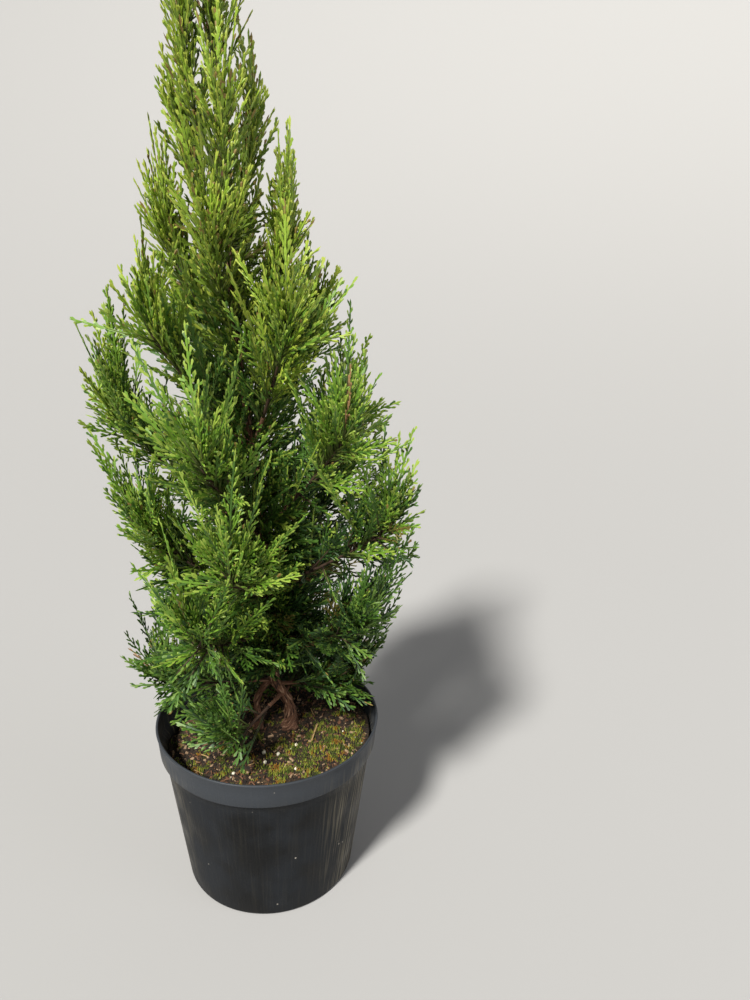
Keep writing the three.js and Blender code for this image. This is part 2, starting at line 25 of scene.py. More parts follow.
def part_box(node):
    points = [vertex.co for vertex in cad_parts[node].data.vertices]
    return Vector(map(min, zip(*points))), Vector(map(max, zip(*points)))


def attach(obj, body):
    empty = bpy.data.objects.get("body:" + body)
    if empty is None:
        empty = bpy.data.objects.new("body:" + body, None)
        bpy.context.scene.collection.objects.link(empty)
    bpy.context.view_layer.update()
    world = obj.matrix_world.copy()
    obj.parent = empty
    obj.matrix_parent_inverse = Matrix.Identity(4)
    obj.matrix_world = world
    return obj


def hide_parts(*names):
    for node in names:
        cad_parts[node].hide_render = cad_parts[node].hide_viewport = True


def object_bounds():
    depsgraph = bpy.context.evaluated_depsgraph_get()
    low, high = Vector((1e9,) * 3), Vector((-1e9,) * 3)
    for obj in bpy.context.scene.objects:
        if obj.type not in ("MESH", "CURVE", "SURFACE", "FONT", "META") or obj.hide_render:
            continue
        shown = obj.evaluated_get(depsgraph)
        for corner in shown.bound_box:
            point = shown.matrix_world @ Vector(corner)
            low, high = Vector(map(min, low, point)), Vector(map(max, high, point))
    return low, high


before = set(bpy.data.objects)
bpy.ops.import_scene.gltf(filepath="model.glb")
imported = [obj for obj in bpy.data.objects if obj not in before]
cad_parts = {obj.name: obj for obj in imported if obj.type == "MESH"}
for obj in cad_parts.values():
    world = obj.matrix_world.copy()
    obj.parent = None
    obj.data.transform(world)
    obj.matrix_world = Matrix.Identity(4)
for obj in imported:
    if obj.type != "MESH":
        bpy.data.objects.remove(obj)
cad_low, cad_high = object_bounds()

LOG = logging.getLogger("thuja")
MM = 0.001
UP = np.array([0.0, 0.0, 1.0])
BOX_LOW, BOX_HIGH = np.array(cad_low) / MM, np.array(cad_high) / MM
BOX_CLEAR = 2.6  # between a shoot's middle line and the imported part's box
SEAM = 0.001  # vertices nearer than this are one
Array = np.ndarray
Two = tuple[float, float]


def linear(hex_colour: str) -> tuple[float, float, float, float]:
    """Turns an sRGB colour into the linear one that shaders use.

    Args:
        hex_colour: six hex digits after a hash sign.

    Returns:
        Red, green, blue and an alpha of 1.
    """
    shares = [int(hex_colour[i : i + 2], 16) / 255 for i in (1, 3, 5)]
    red, green, blue = (
        share / 12.92 if share <= 0.04045 else ((share + 0.055) / 1.055) ** 2.4 for share in shares
    )
    return red, green, blue, 1.0


def first_output(source: Node | NodeSocket) -> NodeSocket:
    """A node's first output, or the socket itself."""
    return source.outputs[0] if isinstance(source, Node) else source


def add_node(
    tree: NodeTree,
    kind: str,
    settings: dict | None = None,
    values: dict | None = None,
    links: dict | None = None,
    stops: Sequence[tuple[float, str]] = (),
) -> Node:
    """Adds a node with its settings and links.

    Args:
        tree: the node tree that gets it.
        kind: the node's type name, without the word that all of them begin with.
        settings: the node's own attributes.
        values: values for input sockets, by name or number.
        links: sources for input sockets, by name or number; a node gives its first output.
        stops: for a colour ramp, places from 0 to 1, each with its hex colour.

    Returns:
        The new node.
    """
    node = tree.nodes.new(f"ShaderNode{kind}")
    for name, value in (settings or {}).items():
        setattr(node, name, value)
    for name, value in (values or {}).items():
        node.inputs[name].default_value = value
    for name, source in (links or {}).items():
        tree.links.new(first_output(source), node.inputs[name])
    if stops:
        elements = node.color_ramp.elements
        while len(elements) < len(stops):
            elements.new(1.0)
        for element, (place, colour) in zip(elements, stops):
            element.position, element.color = place, linear(colour)
    return node


def feed(shader: Node, **sources: Node | NodeSocket) -> None:
    """Links sources to the shader's sockets that they are named after, with _ for a space."""
    for key, source in sources.items():
        shader.id_data.links.new(first_output(source), shader.inputs[key.replace("_", " ")])


def new_material(name: str, **values: float) -> tuple[Material, Node]:
    """Starts a material with one shader.

    Args:
        name: the material's name.
        values: values of the shader's sockets, with _ for a space.

    Returns:
        The material and its shader node.
    """
    material = bpy.data.materials.new(name)
    material.use_nodes = True
    shader = material.node_tree.nodes["Principled BSDF"]
    for key, value in values.items():
        shader.inputs[key.replace("_", " ")].default_value = value
    return material, shader


WAX_IOR = 1.45  # leaf wax
MATT_IOR = 1.5  # bark, peat and stone


class PlainFinish(Enum):
    """Finishes of one plain colour: name, sRGB colour, roughness and index of refraction."""

    def material(self) -> Material:
        """The finish's material, made when it is first asked for.

        Returns:
            The material.
        """
        name, colour, roughness, ior = self.value
        made = bpy.data.materials.get(name)
        return made or new_material(name, Base_Color=linear(colour), Roughness=roughness, IOR=ior)[0]


def dress(piece: Object, slot: str, *nodes: str) -> Object:
    """Ties a finished piece to the frame and reports it.

    Args:
        piece: the finished object.
        slot: the record's material slot; it is not used.
        nodes: the solids that it stands for.

    Returns:
        The same object.
    """
    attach(piece, "root")
    if nodes:
        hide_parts(*nodes)
    faces = sum(len(face.vertices) - 2 for face in piece.data.polygons)
    LOG.info("%s: %d triangles, stands for %d solids", piece.name, faces, len(nodes))
    return piece


def spun(rows: Sequence[Two], sides: int) -> BMesh:
    """Spins an outline round the upright axis.

    Args:
        rows: radii and heights.
        sides: how many sides the round form gets.

    Returns:
        The bmesh, with its seam and its poles closed.
    """
    shape = bmesh.new()
    verts = [shape.verts.new((radius, 0, height)) for radius, height in rows]
    edges = [shape.edges.new(pair) for pair in zip(verts, verts[1:])]
    full = {"angle": 2 * math.pi, "steps": sides, "use_merge": True}
    bmesh.ops.spin(shape, geom=verts + edges, cent=(0, 0, 0), axis=(0, 0, 1), **full)
    bmesh.ops.remove_doubles(shape, verts=shape.verts, dist=SEAM)
    return shape


def linked(name: str, data: ID) -> Object:
    """Makes an object and links it to the scene.

    Args:
        name: the object's name.
        data: what it shows or is.

    Returns:
        The object.
    """
    made = bpy.data.objects.new(name, data)
    bpy.context.scene.collection.objects.link(made)
    return made


def piece_from_bmesh(
    name: str, shape: BMesh, materials: Sequence[Material], smooth: bool = True
) -> Object:
    """Makes an object in metres from a bmesh in millimetres, and frees the bmesh.

    Args:
        name: the piece's name.
        shape: the modelled bmesh.
        materials: its materials in slot order.
        smooth: whether its faces are shaded smooth.

    Returns:
        The object, linked to the scene.
    """
    bmesh.ops.scale(shape, vec=(MM, MM, MM), verts=shape.verts)
    for face in shape.faces:
        face.smooth = smooth
    mesh = bpy.data.meshes.new(name)
    shape.to_mesh(mesh)
    shape.free()
    for material in materials:
        mesh.materials.append(material)
    return linked(name, mesh)


class Template:
    """A small closed shape as arrays, from which many copies are joined into one mesh."""

    def __init__(self, shape: BMesh) -> None:
        """Reads the shape's vertices and faces, and frees it.

        Args:
            shape: the modelled bmesh.
        """
        bmesh.ops.recalc_face_normals(shape, faces=shape.faces)
        shape.verts.index_update()
        self.places = np.array([vert.co for vert in shape.verts])
        self.corners = np.array([vert.index for face in shape.faces for vert in face.verts])
        self.totals = np.array([len(face.verts) for face in shape.faces])
        self.middles = np.array([face.calc_center_median() for face in shape.faces])
        shape.free()


class JoinedCopies:
    """Copies of small shapes, gathered as arrays and made into one mesh."""

    def __init__(self) -> None:
        """Starts with no copies."""
        self.places: list[Array] = []
        self.corners: list[Array] = []
        self.totals: list[Array] = []
        self.slots: list[Array] = []
        self.count = 0

    def add(self, template: Template, places: Array, slots: Array) -> None:
        """Adds copies of one template.

        Args:
            template: the shape that is copied.
            places: where each copy's vertices are, as copies by vertices by 3.
            slots: the material slot of each copy, or of each copy's faces.
        """
        copies, size = places.shape[:2]
        starts = self.count + size * np.arange(copies)
        self.corners.append((template.corners[None, :] + starts[:, None]).ravel())
        self.totals.append(np.tile(template.totals, copies))
        by_face = np.broadcast_to(slots.reshape(copies, -1), (copies, len(template.totals)))
        self.slots.append(by_face.ravel())
        self.places.append(places.reshape(-1, 3))
        self.count += copies * size

    def piece(self, name: str, materials: Sequence[Material], smooth: bool = False) -> Object:
        """Joins the copies into one object.

        Args:
            name: the piece's name.
            materials: its materials in slot order.
            smooth: whether its faces are shaded smooth.

        Returns:
            The object, linked to the scene.
        """
        totals = np.concatenate(self.totals)
        corners = np.concatenate(self.corners)
        mesh = bpy.data.meshes.new(name)
        mesh.vertices.add(self.count)
        mesh.vertices.foreach_set("co", (np.concatenate(self.places) * MM).ravel())
        mesh.loops.add(len(corners))
        mesh.loops.foreach_set("vertex_index", corners)
        mesh.polygons.add(len(totals))
        mesh.polygons.foreach_set("loop_start", np.concatenate([[0], np.cumsum(totals)[:-1]]))
        for material in materials:
            mesh.materials.append(material)
        mesh.polygons.foreach_set("material_index", np.concatenate(self.slots))
        mesh.polygons.foreach_set("use_smooth", np.full(len(totals), smooth))
        mesh.update(calc_edges=True)
        return linked(name, mesh)


def random_turns(luck: Generator, count: int) -> Array:
    """Makes random rotations.

    Args:
        luck: the seeded generator.
        count: how many are made.

    Returns:
        Rotation matrices, as count by 3 by 3.
    """
    w, x, y, z = (lambda q: (q / np.linalg.norm(q, axis=1)[:, None]).T)(luck.normal(size=(count, 4)))
    rows = [
        [1 - 2 * (y * y + z * z), 2 * (x * y - z * w), 2 * (x * z + y * w)],
        [2 * (x * y + z * w), 1 - 2 * (x * x + z * z), 2 * (y * z - x * w)],
        [2 * (x * z - y * w), 2 * (y * z + x * w), 1 - 2 * (x * x + y * y)],
    ]
    return np.moveaxis(np.array(rows), 2, 0)


def unit(vectors: Array) -> Array:
    """Gives vectors the length 1, along their last axis."""
    return vectors / np.linalg.norm(vectors, axis=-1, keepdims=True)


def level_way(turn: float) -> Array:
    """The level direction at an azimuth in radians."""
    return np.array([math.cos(turn), math.sin(turn), 0.0])


def level_axes(ahead: Array) -> Array:
    """Directions, level ones square to them, and those square to both, as rows."""
    side = unit(np.cross(UP, ahead))
    return np.stack([ahead, side, np.cross(ahead, side)], axis=-2)


def square_to(ahead: Array) -> tuple[Array, Array]:
    """Two directions square to a third one and to each other, the first as near +X as it goes."""
    out = unit(np.array([1.0, 0, 0]) - ahead * ahead[0])
    return out, np.cross(ahead, out)


def heading(line_at: Callable[[float], Array], share: float, step: float) -> Array:
    """The direction of a line at a share of its length, read over a step to each side."""
    return unit(line_at(share + step) - line_at(share - step))


class Curve:
    """A smooth curve through rows of a table, read at one value of its first column."""

    def __init__(self, rows: Sequence[Sequence[float]]) -> None:
        """Works out the slope at each row.

        Args:
            rows: the table, in rising order of its first column.
        """
        self.rows = np.array(rows, float)
        numbers = np.arange(len(self.rows))
        before = self.rows[np.maximum(numbers - 1, 0)]
        after = self.rows[np.minimum(numbers + 1, numbers[-1])]
        self.slopes = (after - before) / (after - before)[:, :1]
        self.first, self.last = self.rows[0, 0], self.rows[-1, 0]

    def read(self, at: Array | float, column: int = 1) -> Array:
        """Reads a column at values of the first one, held level beyond the table's ends.

        Args:
            at: the values of the first column.
            column: the column that is read.

        Returns:
            The column's values.
        """
        steps = self.rows[:, 0]
        at = np.clip(at, self.first, self.last)
        i = np.clip(np.searchsorted(steps, at, side="right") - 1, 0, len(steps) - 2)
        span = steps[i + 1] - steps[i]
        t = (at - steps[i]) / span
        bend = t * t * (3 - 2 * t)
        leaving = (t - 2 * t * t + t**3) * span * self.slopes[i, column]
        arriving = (t**3 - t * t) * span * self.slopes[i + 1, column]
        level = self.rows[i, column] * (1 - bend) + self.rows[i + 1, column] * bend
        return level + leaving + arriving


def chance(mass: int, twig: int, use: int) -> float:
    """A number from 0 to 1 that is always the same for the same mass, twig and use."""
    wave = math.sin(mass * 127.1 + twig * 311.7 + use * 74.7) * 43758.5453
    return wave - math.floor(wave)


@dataclass(frozen=True)
class Tier:
    """A ring of foliage masses between two cones round the trunk."""

    name: str
    masses: int  # how many masses share the ring
    phase: float  # the azimuth of the first mass, in degrees
    bough: float  # the share of each mass's line that is a bare bough
    flat: float  # how level the sprays lie, from 0 to 1
    lift: float  # how strongly the twigs turn up
    # The least and the most that twigs lean away from the stem, in degrees
    open: Two
    longest: float  # the longest spray


TIERS = (
    Tier("skirt", 6, 180, 0.24, 0.7, -0.1, (24, 80), 84),
    Tier("low", 4, 235, 0.24, 0.5, 0.1, (24, 80), 92),
    Tier("middle", 5, 188, 0.24, 0.3, 0.25, (24, 78), 88),
    Tier("shoulder", 5, 176, 0.26, 0.15, 0.5, (20, 74), 92),
    Tier("upper", 4, 215, 0.28, 0.08, 0.7, (16, 66), 92),
    Tier("high", 4, 170, 0.0, 0.05, 0.8, (12, 56), 74),
    Tier("spire", 3, 30, 0.0, 0.05, 0.8, (10, 50), 60),
)


@dataclass(frozen=True)
class PlantSizes:
    """The driving sizes of the limbs and the crown, the same as in the solids."""

    rim_height: float
    rim_radius: float
    soil_depth: float = 22.0  # how far the soil lies under the rim
    seat_radius: float = 36.0  # the level patch of soil round the stems
    soil_edge_drop: float = 5.0  # how far the soil falls to the wall
    soil_tilt: float = 10.0  # how far the soil rises and falls round the wall
    soil_high_side: float = -40.0  # the azimuth of its high side, in degrees
    wall: float = 1.8  # the thickness of the pot's wall
    gap: float = 0.3  # the gap between two solids that meet

    @classmethod
    def from_frame(cls) -> "PlantSizes":
        """Takes the rim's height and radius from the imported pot."""
        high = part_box("pot")[1]
        return cls(rim_height=high.z / MM, rim_radius=high.x / MM)

    @property
    def soil_level(self) -> float:
        """The height of the soil round the stems."""
        return self.rim_height - self.soil_depth

    def soil_top(self, x: Array, y: Array) -> Array:
        """The height of the soil's plain surface over the underside of the pot.

        Args:
            x: places to the right.
            y: places to the back.

        Returns:
            The heights.
        """
        away = np.hypot(x, y)
        share = (away - self.seat_radius) / (self.rim_radius - self.wall - self.seat_radius)
        turn = np.arctan2(y, x) - math.radians(self.soil_high_side)
        slope = self.soil_tilt * np.cos(turn) - self.soil_edge_drop
        return self.soil_level + np.clip(share, 0, 1) * slope


SIZES = PlantSizes.from_frame()

# Height over the soil, x, y, radius
TRUNK = Curve(
    [
        (0, 22, 5, 9.5), (8, 22.5, 5, 6.6), (24, 21.5, 4, 5.4), (42, 15, 3, 5.0),
        (60, 7, 1, 4.8), (82, 4, 0, 4.6), (150, 3, 0, 4.3), (270, -6, 2, 3.7),
        (385, -19, 2, 3.0), (500, -25, 0, 2.3), (590, -30, -2, 1.7),
    ]
)
SECOND_STEM = Curve(
    [(0, -11, 7, 6.0), (12, -11, 6, 3.6), (34, -12, 5, 3.2), (50, -5, 3, 3.0), (64, 6, 1, 2.8)]
)

# Height over the rim, and how far the foliage reaches from the trunk's line
CROWN_REACH = Curve(
    [
        (-25, 84), (20, 104), (70, 116), (150, 117), (215, 128), (290, 142), (330, 132),
        (400, 108), (450, 80), (520, 62), (590, 42), (660, 26), (712, 8),
    ]
)

# Where the crown is fuller or thinner than round: azimuth, height, height spread, share of the reach
CROWN_LOBES = (
    (180, 390, 55, 0.16), (0, 275, 50, 0.1), (190, 65, 60, 0.24), (10, 50, 70, -0.16),
    (180, 250, 45, -0.06), (347, 200, 75, 0.16), (350, 434, 26, 0.2),
)

# The cones between the tiers: height on the trunk, and slope outwards
TIER_CONES = (
    (-12, -0.12), (70, 0.15), (108, 0.5), (158, 0.82), (232, 1.2), (314, 1.7), (410, 2.4), (480, 3.4),
)

# Height over the rim, x, y and the half width of the space round each leader
SIDE_LEADER = Curve(
    [(500, -26, -1, 14), (540, -42, -3, 24), (580, -50, -4, 27), (640, -56, -4, 25), (708, -64, -2, 12)]
)
LEADER = Curve([(568, -30, -2, 34), (620, -30, -2, 30), (660, -31, -2, 22), (692, -35, -1, 12)])


# Where the longest shoots end that stand out of the crown: x, y, and height over the rim
LONG_TIPS = (
    (30, -10, 556), (16, 0, 508), (10, 0, 580), (-94, 0, 524), (-82, 10, 528),
    (-68, -10, 537), (-78, 0, 586), (-125, 0, 415), (-142, -5, 382), (-152, 0, 325),
    (-150, -6, 296), (-139, 0, 262), (-129, 0, 228), (-123, 5, 190), (-126, 0, 144),
    (-139, 0, 101), (-128, 0, 64), (50, -15, 460), (76, -25, 430), (84, -35, 432),
    (92, -35, 362), (126, -50, 312), (136, -55, 284), (139, -50, 258), (134, -60, 226),
    (139, -50, 204), (133, -45, 176), (136, -45, 146), (122, -45, 118), (112, -45, 104),
    (33, -30, 528), (28, -20, 552), (-97, 0, 505), (-96, 5, 486), (-100, 0, 455),
    (-136, 0, 402), (-148, 10, 306), (-84, -60, 12), (-74, -84, 10), (-52, -98, 12),
    (-26, -106, 12), (-96, -38, 14), (-62, -72, 8), (-38, -88, 6), (-98, -25, 285),
    (-94, -40, 278), (-83, -20, 353), (-90, -5, 518), (-90, 0, 488), (77, -10, 425),
    (76, -20, 389), (76, -30, 184), (82, -10, 155), (50, -20, 447), (48, -35, 360),
    (122, -30, 305), (-111, -5, 377), (-118, -30, 77), (-67, 0, 608), (-70, 0, 586),
    (-145, 0, 313), (132, -30, 235), (-81, -45, 260), (41, -10, 480), (-113, 0, 416),
    (130, -30, 146), (-91, -45, 300), (-78, -55, 293), (-109, -20, 285), (-50, -45, 378),
    (-67, -45, 365), (-82, -30, 372), (-93, -50, 266), (-116, -25, 208), (55, -25, 450),
    (78, -45, 190), (98, -35, 179), (53, -50, 371), (-62, -55, 348),
)


@dataclass(frozen=True)
class GrowthRule:
    """The numbers of the rule by which a mass of foliage grows, the same as in the solids."""

    sprays: int = 6
    leader_sprays: int = 8
    bare_foot: float = 300.0  # the azimuth where the skirt has no mass, in degrees

    # A mass's line: how far it turns in its sector, its root on the trunk as a share of its tier's
    # height there, its least and greatest length, how it sags, and how far its stem runs along it
    azimuth_play: float = 0.3
    root_lowest: float = 0.35
    root_play: float = 0.3
    nearest_tip: float = 20.0
    furthest_tip: float = 200.0
    sag: float = 0.2
    stem_end: float = 0.68

    # How far it may pass the crown's mean reach, and how near it comes to other things
    reach_margin: float = 1.06
    over_reach: float = 1.0
    clear: float = 1.2
    over_bark: float = 1.0
    over_rim: float = 5.0
    over_soil: float = 4.0
    rim_zone: float = 9.0

    # How its twigs stand: the steps in which free room is measured and a direction is read, the
    # first and last twig on the stem, the last one's lean in degrees, the share of the tier's lift
    # that each takes, how far a spray turns about its own line, and how many ways are tried
    probe_step: float = 3.0
    ahead: float = 0.02
    first_twig: float = 0.3
    last_twig: float = 0.97
    last_open: Two = (0, 12)
    least_lift: float = 0.2
    lift_play: float = 0.6
    spin: float = 80.0
    tries: int = 10

    # A twig: its radius, its bare share, the root that may lie outside the mass's space, what it
    # stops short of, and the least share of its free run that it takes deep in the crown
    twig_radius: float = 1.0
    twig_share: float = 0.2
    twig_root: float = 4.0
    twig_end: float = 1.0
    shortest_reach: float = 0.55

    # A spray: the shortest, how it is made smaller until it fits, its width as a share of its
    # length, its thickness, and the length over which it has three teeth a side
    spray_shortest: float = 20.0
    spray_shrink: float = 0.84
    width_share: float = 0.64
    thickness: float = 2.4
    small_spray: float = 58.0

    # Its outline, in shares of its length: its rib's foot and its last tooth, the rib that runs on
    # past it, how far a tooth points forwards, how wide a notch is, and the part of half a sine wave
    # that the teeth follow
    rib_foot: float = 0.1
    last_tooth: float = 0.95
    rib_end: float = 0.35
    tooth_forward: float = 1.15
    notch_share: float = 0.06
    teeth_from: float = 0.32
    teeth_over: float = 0.5

    # Sprays nearer than this are crowded, measured at these shares of their length
    crowded: float = 44.0
    marks: tuple[float, float, float] = (0.3, 0.65, 1.0)


@dataclass(frozen=True)
class FinerRule:
    """How the rule is carried on to finer twigs than those of the solids.

    Where a field has two numbers they are the least and what chance adds.
    """

    share: float = 0.6  # the longest spray, as a share of its tier's longest
    tries: int = 5
    spin: float = 150.0
    limb_near: float = 3.2  # how near a bare bough a spray may pass

    # Where they leave the stem: how they crowd outwards, and how near the trunk they begin, as a
    # share of the mass's line or of its bare bough; and how much more they are lifted
    outward: float = 0.7
    lowest: float = 0.05
    on_bough: float = 0.3
    lift_gain: float = 1.6
    lift_more: float = 0.1

    # One in this many grows on the trunk: the lowest, the least height over which they are spread,
    # and their way up
    from_trunk: int = 3
    trunk_foot: float = 48.0
    trunk_span: float = 30.0
    trunk_lift: Two = (0.15, 1.1)

    # One in as many stands up: its way along the stem, to a side and up
    rise_ahead: Two = (0.3, 0.5)
    rise_side: float = 1.3
    rise_up: Two = (0.6, 0.5)

    # How far they may lie in a neighbour's space, in that of the tier above, and out of a
    # leader's tube
    loose: float = 40.0
    roof_loose: float = 64.0
    leader_loose: float = 8.0

    # A spray that ends at a given tip: its shortest and longest reach, the reach that counts
    # against it as much as lying level does, and its spin
    long_near: float = 48.0
    long_far: float = 125.0
    long_length: float = 300.0
    long_spin: float = 110.0


RULE = GrowthRule()
FINER = FinerRule()

# Where the crown is open and the foot of the stems and the moss show: X from and to, Y to, and
# height over the soil of each window, whose upper edge falls to the back as the camera's sight does
FOOT_WINDOWS = ((-20, 60, 6, 24), (-17, 38, 4, 52))
SIGHT_FALL = 0.72

# The open place to their right: X from, Y to, and height over the rim
MOSS_WINDOW = (60, 35, 20)


def trunk_line(height: Array | float) -> Array:
    """The points of the trunk's line at heights over the rim, along the last axis."""
    over = height + SIZES.soil_depth
    return np.stack([TRUNK.read(over, 1), TRUNK.read(over, 2), height + SIZES.rim_height], axis=-1)


def in_box(points: Array) -> Array:
    """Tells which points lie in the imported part's box, clear of its sides."""
    return ((points > BOX_LOW + BOX_CLEAR) & (points < BOX_HIGH - BOX_CLEAR)).all(axis=1)


def hides_foot(points: Array) -> Array:
    """Tells which points would hide the foot of the stems or the moss, where the crown is open.

    Args:
        points: places, as count by 3.

    Returns:
        True for each point in the way.
    """
    x, y, z = points.T
    right, back, high = MOSS_WINDOW
    hidden = (x >= right) & (y < back) & (z < SIZES.rim_height + high)
    for left, right, back, high in FOOT_WINDOWS:
        hidden |= (x > left) & (x < right) & (y < back) & (z < SIZES.soil_level + high - SIGHT_FALL * y)
    return hidden


def reach_at(azimuth: Array | float, height: Array | float) -> Array:
    """How far the crown reaches at azimuths and heights over the rim.

    Args:
        azimuth: in degrees.
        height: over the rim.

    Returns:
        Distances from the trunk's line.
    """
    lobes = 0.0
    for side, level, spread, share in CROWN_LOBES:
        facing = np.maximum(0, np.cos(np.radians(azimuth - side)))
        lobes = lobes + share * facing**2 * np.exp(-(((height - level) / spread) ** 2))
    return CROWN_REACH.read(height) * (1 + lobes)


@dataclass
class MassPlan:
    """One mass of foliage: its line, and the space that it keeps to."""

    tier: Tier  # the rule of its tier
    level: int  # the tier's number from the rim up
    index: int  # the mass's number in the rule
    k: int  # its number in the tier
    half: float  # half the angle of its sector
    middle: float  # the azimuth of its sector's middle
    sprays: int = RULE.sprays
    start: float = field(init=False)
    azimuth: float = field(init=False)
    root: float = field(init=False)
    rise: float = field(init=False)
    tip: float = field(init=False)

    def __post_init__(self) -> None:
        """Works out the mass's line, out to the crown's reach."""
        low, high = TIER_CONES[self.level], TIER_CONES[self.level + 1]
        self.start = self.tier.bough
        self.azimuth = self.middle + (chance(self.index, 0, 1) - 0.5) * RULE.azimuth_play * self.half
        rooted = RULE.root_lowest + RULE.root_play * chance(self.index, 0, 2)
        self.root = low[0] + (high[0] - low[0]) * rooted
        slope = (low[1] + high[1]) / 2
        tip = RULE.nearest_tip
        while tip < min(
            RULE.furthest_tip, RULE.reach_margin * reach_at(self.azimuth, self.root + slope * tip)
        ):
            tip += 1
        self.tip = tip
        self.rise = slope * tip

    @property
    def names(self) -> tuple[str, str]:
        """The names of its bough's solid and of its own."""
        return f"{self.tier.name}_bough_{self.k + 1}", f"{self.tier.name}_foliage_{self.k + 1}"

    def line_at(self, share: float) -> Array:
        """The point on the mass's line at a share of its length."""
        height = self.root + self.rise * share * (1 - RULE.sag + RULE.sag * share)
        return trunk_line(height) + self.tip * share * level_way(math.radians(self.azimuth))

    def holds(self, points: Array, margin: float, loose: float = 0.0) -> Array:
        """Tells which points lie in the mass's space.

        Args:
            points: places, as count by 3.
            margin: how far inside they have to be.
            loose: how far they may lie in a neighbour's space.

        Returns:
            True for each point inside.
        """
        height = points[:, 2] - SIZES.rim_height
        across = points[:, :2] - trunk_line(height)[:, :2]
        away = np.hypot(across[:, 0], across[:, 1])
        azimuth = np.degrees(np.arctan2(across[:, 1], across[:, 0]))
        turned = (azimuth - self.middle + 180) % 360 - 180
        to_side = self.half - np.abs(turned)
        inside = away * np.sin(np.radians(np.clip(to_side, -90, 90))) >= margin - loose
        floor_at, floor_slope = TIER_CONES[self.level]
        steep = math.cos(math.atan(floor_slope))
        inside &= (height - floor_at - floor_slope * away) * steep >= margin - loose
        if self.level + 1 < len(TIER_CONES):
            roof_at, roof_slope = TIER_CONES[self.level + 1]
            steep = math.cos(math.atan(roof_slope))
            over = loose * FINER.roof_loose / FINER.loose
            inside &= (roof_at + roof_slope * away - height) * steep >= margin - over
        inside &= away <= RULE.reach_margin * reach_at(azimuth, height) + RULE.over_reach
        bark = TRUNK.read(height + SIZES.soil_depth, 3)
        inside &= away >= bark + margin + (0 if loose else RULE.over_bark)
        from_pot = np.hypot(points[:, 0], points[:, 1])
        over_soil = points[:, 2] - SIZES.soil_top(points[:, 0], points[:, 1])
        if loose:
            inside &= in_box(points) & ~hides_foot(points)
        in_pot = from_pot < SIZES.rim_radius - RULE.rim_zone
        return inside & np.where(in_pot, over_soil > RULE.over_soil, height > RULE.over_rim)


@dataclass
class LeaderPlan:
    """A leader over the last tier, whose space is a slim tube round its own line."""

    name: str
    rows: Curve  # its line and the half width of its space
    index: int  # the mass's number in the rule
    tier: Tier = Tier("leader", 1, 0, 0.0, 0.0, 0.7, (12, 46), 60)
    sprays: int = RULE.leader_sprays
    start: float = 0.0

    @property
    def names(self) -> tuple[str, str]:
        """A leader has no bough; the second name is its own solid's."""
        return "", f"{self.name}_foliage"

    def line_at(self, share: float) -> Array:
        """The point on the leader's line at a share of its height."""
        height = self.rows.first + (self.rows.last - self.rows.first) * share
        return self.point_at(np.array(height))

    def point_at(self, height: Array) -> Array:
        """The points of the leader's line at heights over the rim.

        Args:
            height: the heights.

        Returns:
            The points, along the last axis.
        """
        return np.stack(
            [self.rows.read(height, 1), self.rows.read(height, 2), height + SIZES.rim_height], axis=-1
        )

    def holds(self, points: Array, margin: float, loose: float = 0.0) -> Array:
        """Tells which points lie in the leader's space.

        Args:
            points: places, as count by 3.
            margin: how far inside they have to be.
            loose: for the finer sprays, which may stand a little out of the tube.

        Returns:
            True for each point inside.
        """
        height = points[:, 2] - SIZES.rim_height
        away = np.linalg.norm(self.point_at(height) - points, axis=1)
        room = self.rows.read(height, 3) - margin + (FINER.leader_loose if loose else 0)
        inside = (height < self.rows.last + RULE.over_reach) & (away < room)
        return inside & in_box(points) if loose else inside


Plan = MassPlan | LeaderPlan


def plan_masses() -> list[Plan]:
    """Plans every mass: the leaders first, as in the solids, and then the tiers.

    Returns:
        The plans in the order of growth.
    """
    plans: list[Plan] = []
    for level, tier in enumerate(TIERS):
        half = 180 / tier.masses
        for k in range(tier.masses):
            middle = tier.phase + 2 * half * k
            if level == 0 and middle == RULE.bare_foot:
                continue
            plans.append(MassPlan(tier, level, len(plans), k, half, middle))
    count = len(plans)
    leaders = [
        LeaderPlan("side_leader", SIDE_LEADER, count),
        LeaderPlan("leader", LEADER, count + 1),
    ]
    return leaders + plans


@dataclass
class Spray:
    """A spray on its twig."""

    plan: Plan  # the mass that it grows in
    number: int  # its number in the mass
    start: Array  # where its twig leaves the stem
    way: Array  # the direction of its length
    normal: Array  # the direction across its flat face
    reach: float  # the length of twig and spray together
    size: float  # the length of the spray
    loose: float  # how far it may lie in a neighbour's space
    inner: bool  # whether it grows straight from the trunk, deep in the crown

    @property
    def axes(self) -> Array:
        """Its length, width and face directions, as rows."""
        width = unit(np.cross(self.normal, self.way))
        return np.stack([self.way, width, np.cross(self.way, width)])

    @property
    def middle(self) -> Array:
        """The point by whose height its form and its colours are chosen."""
        return self.start + 0.6 * self.reach * self.way

    @property
    def marks(self) -> Array:
        """Three points along it, by which crowding is measured."""
        shares = np.array(RULE.marks)
        return self.start + self.way * (self.reach - self.size * (1 - shares))[:, None]


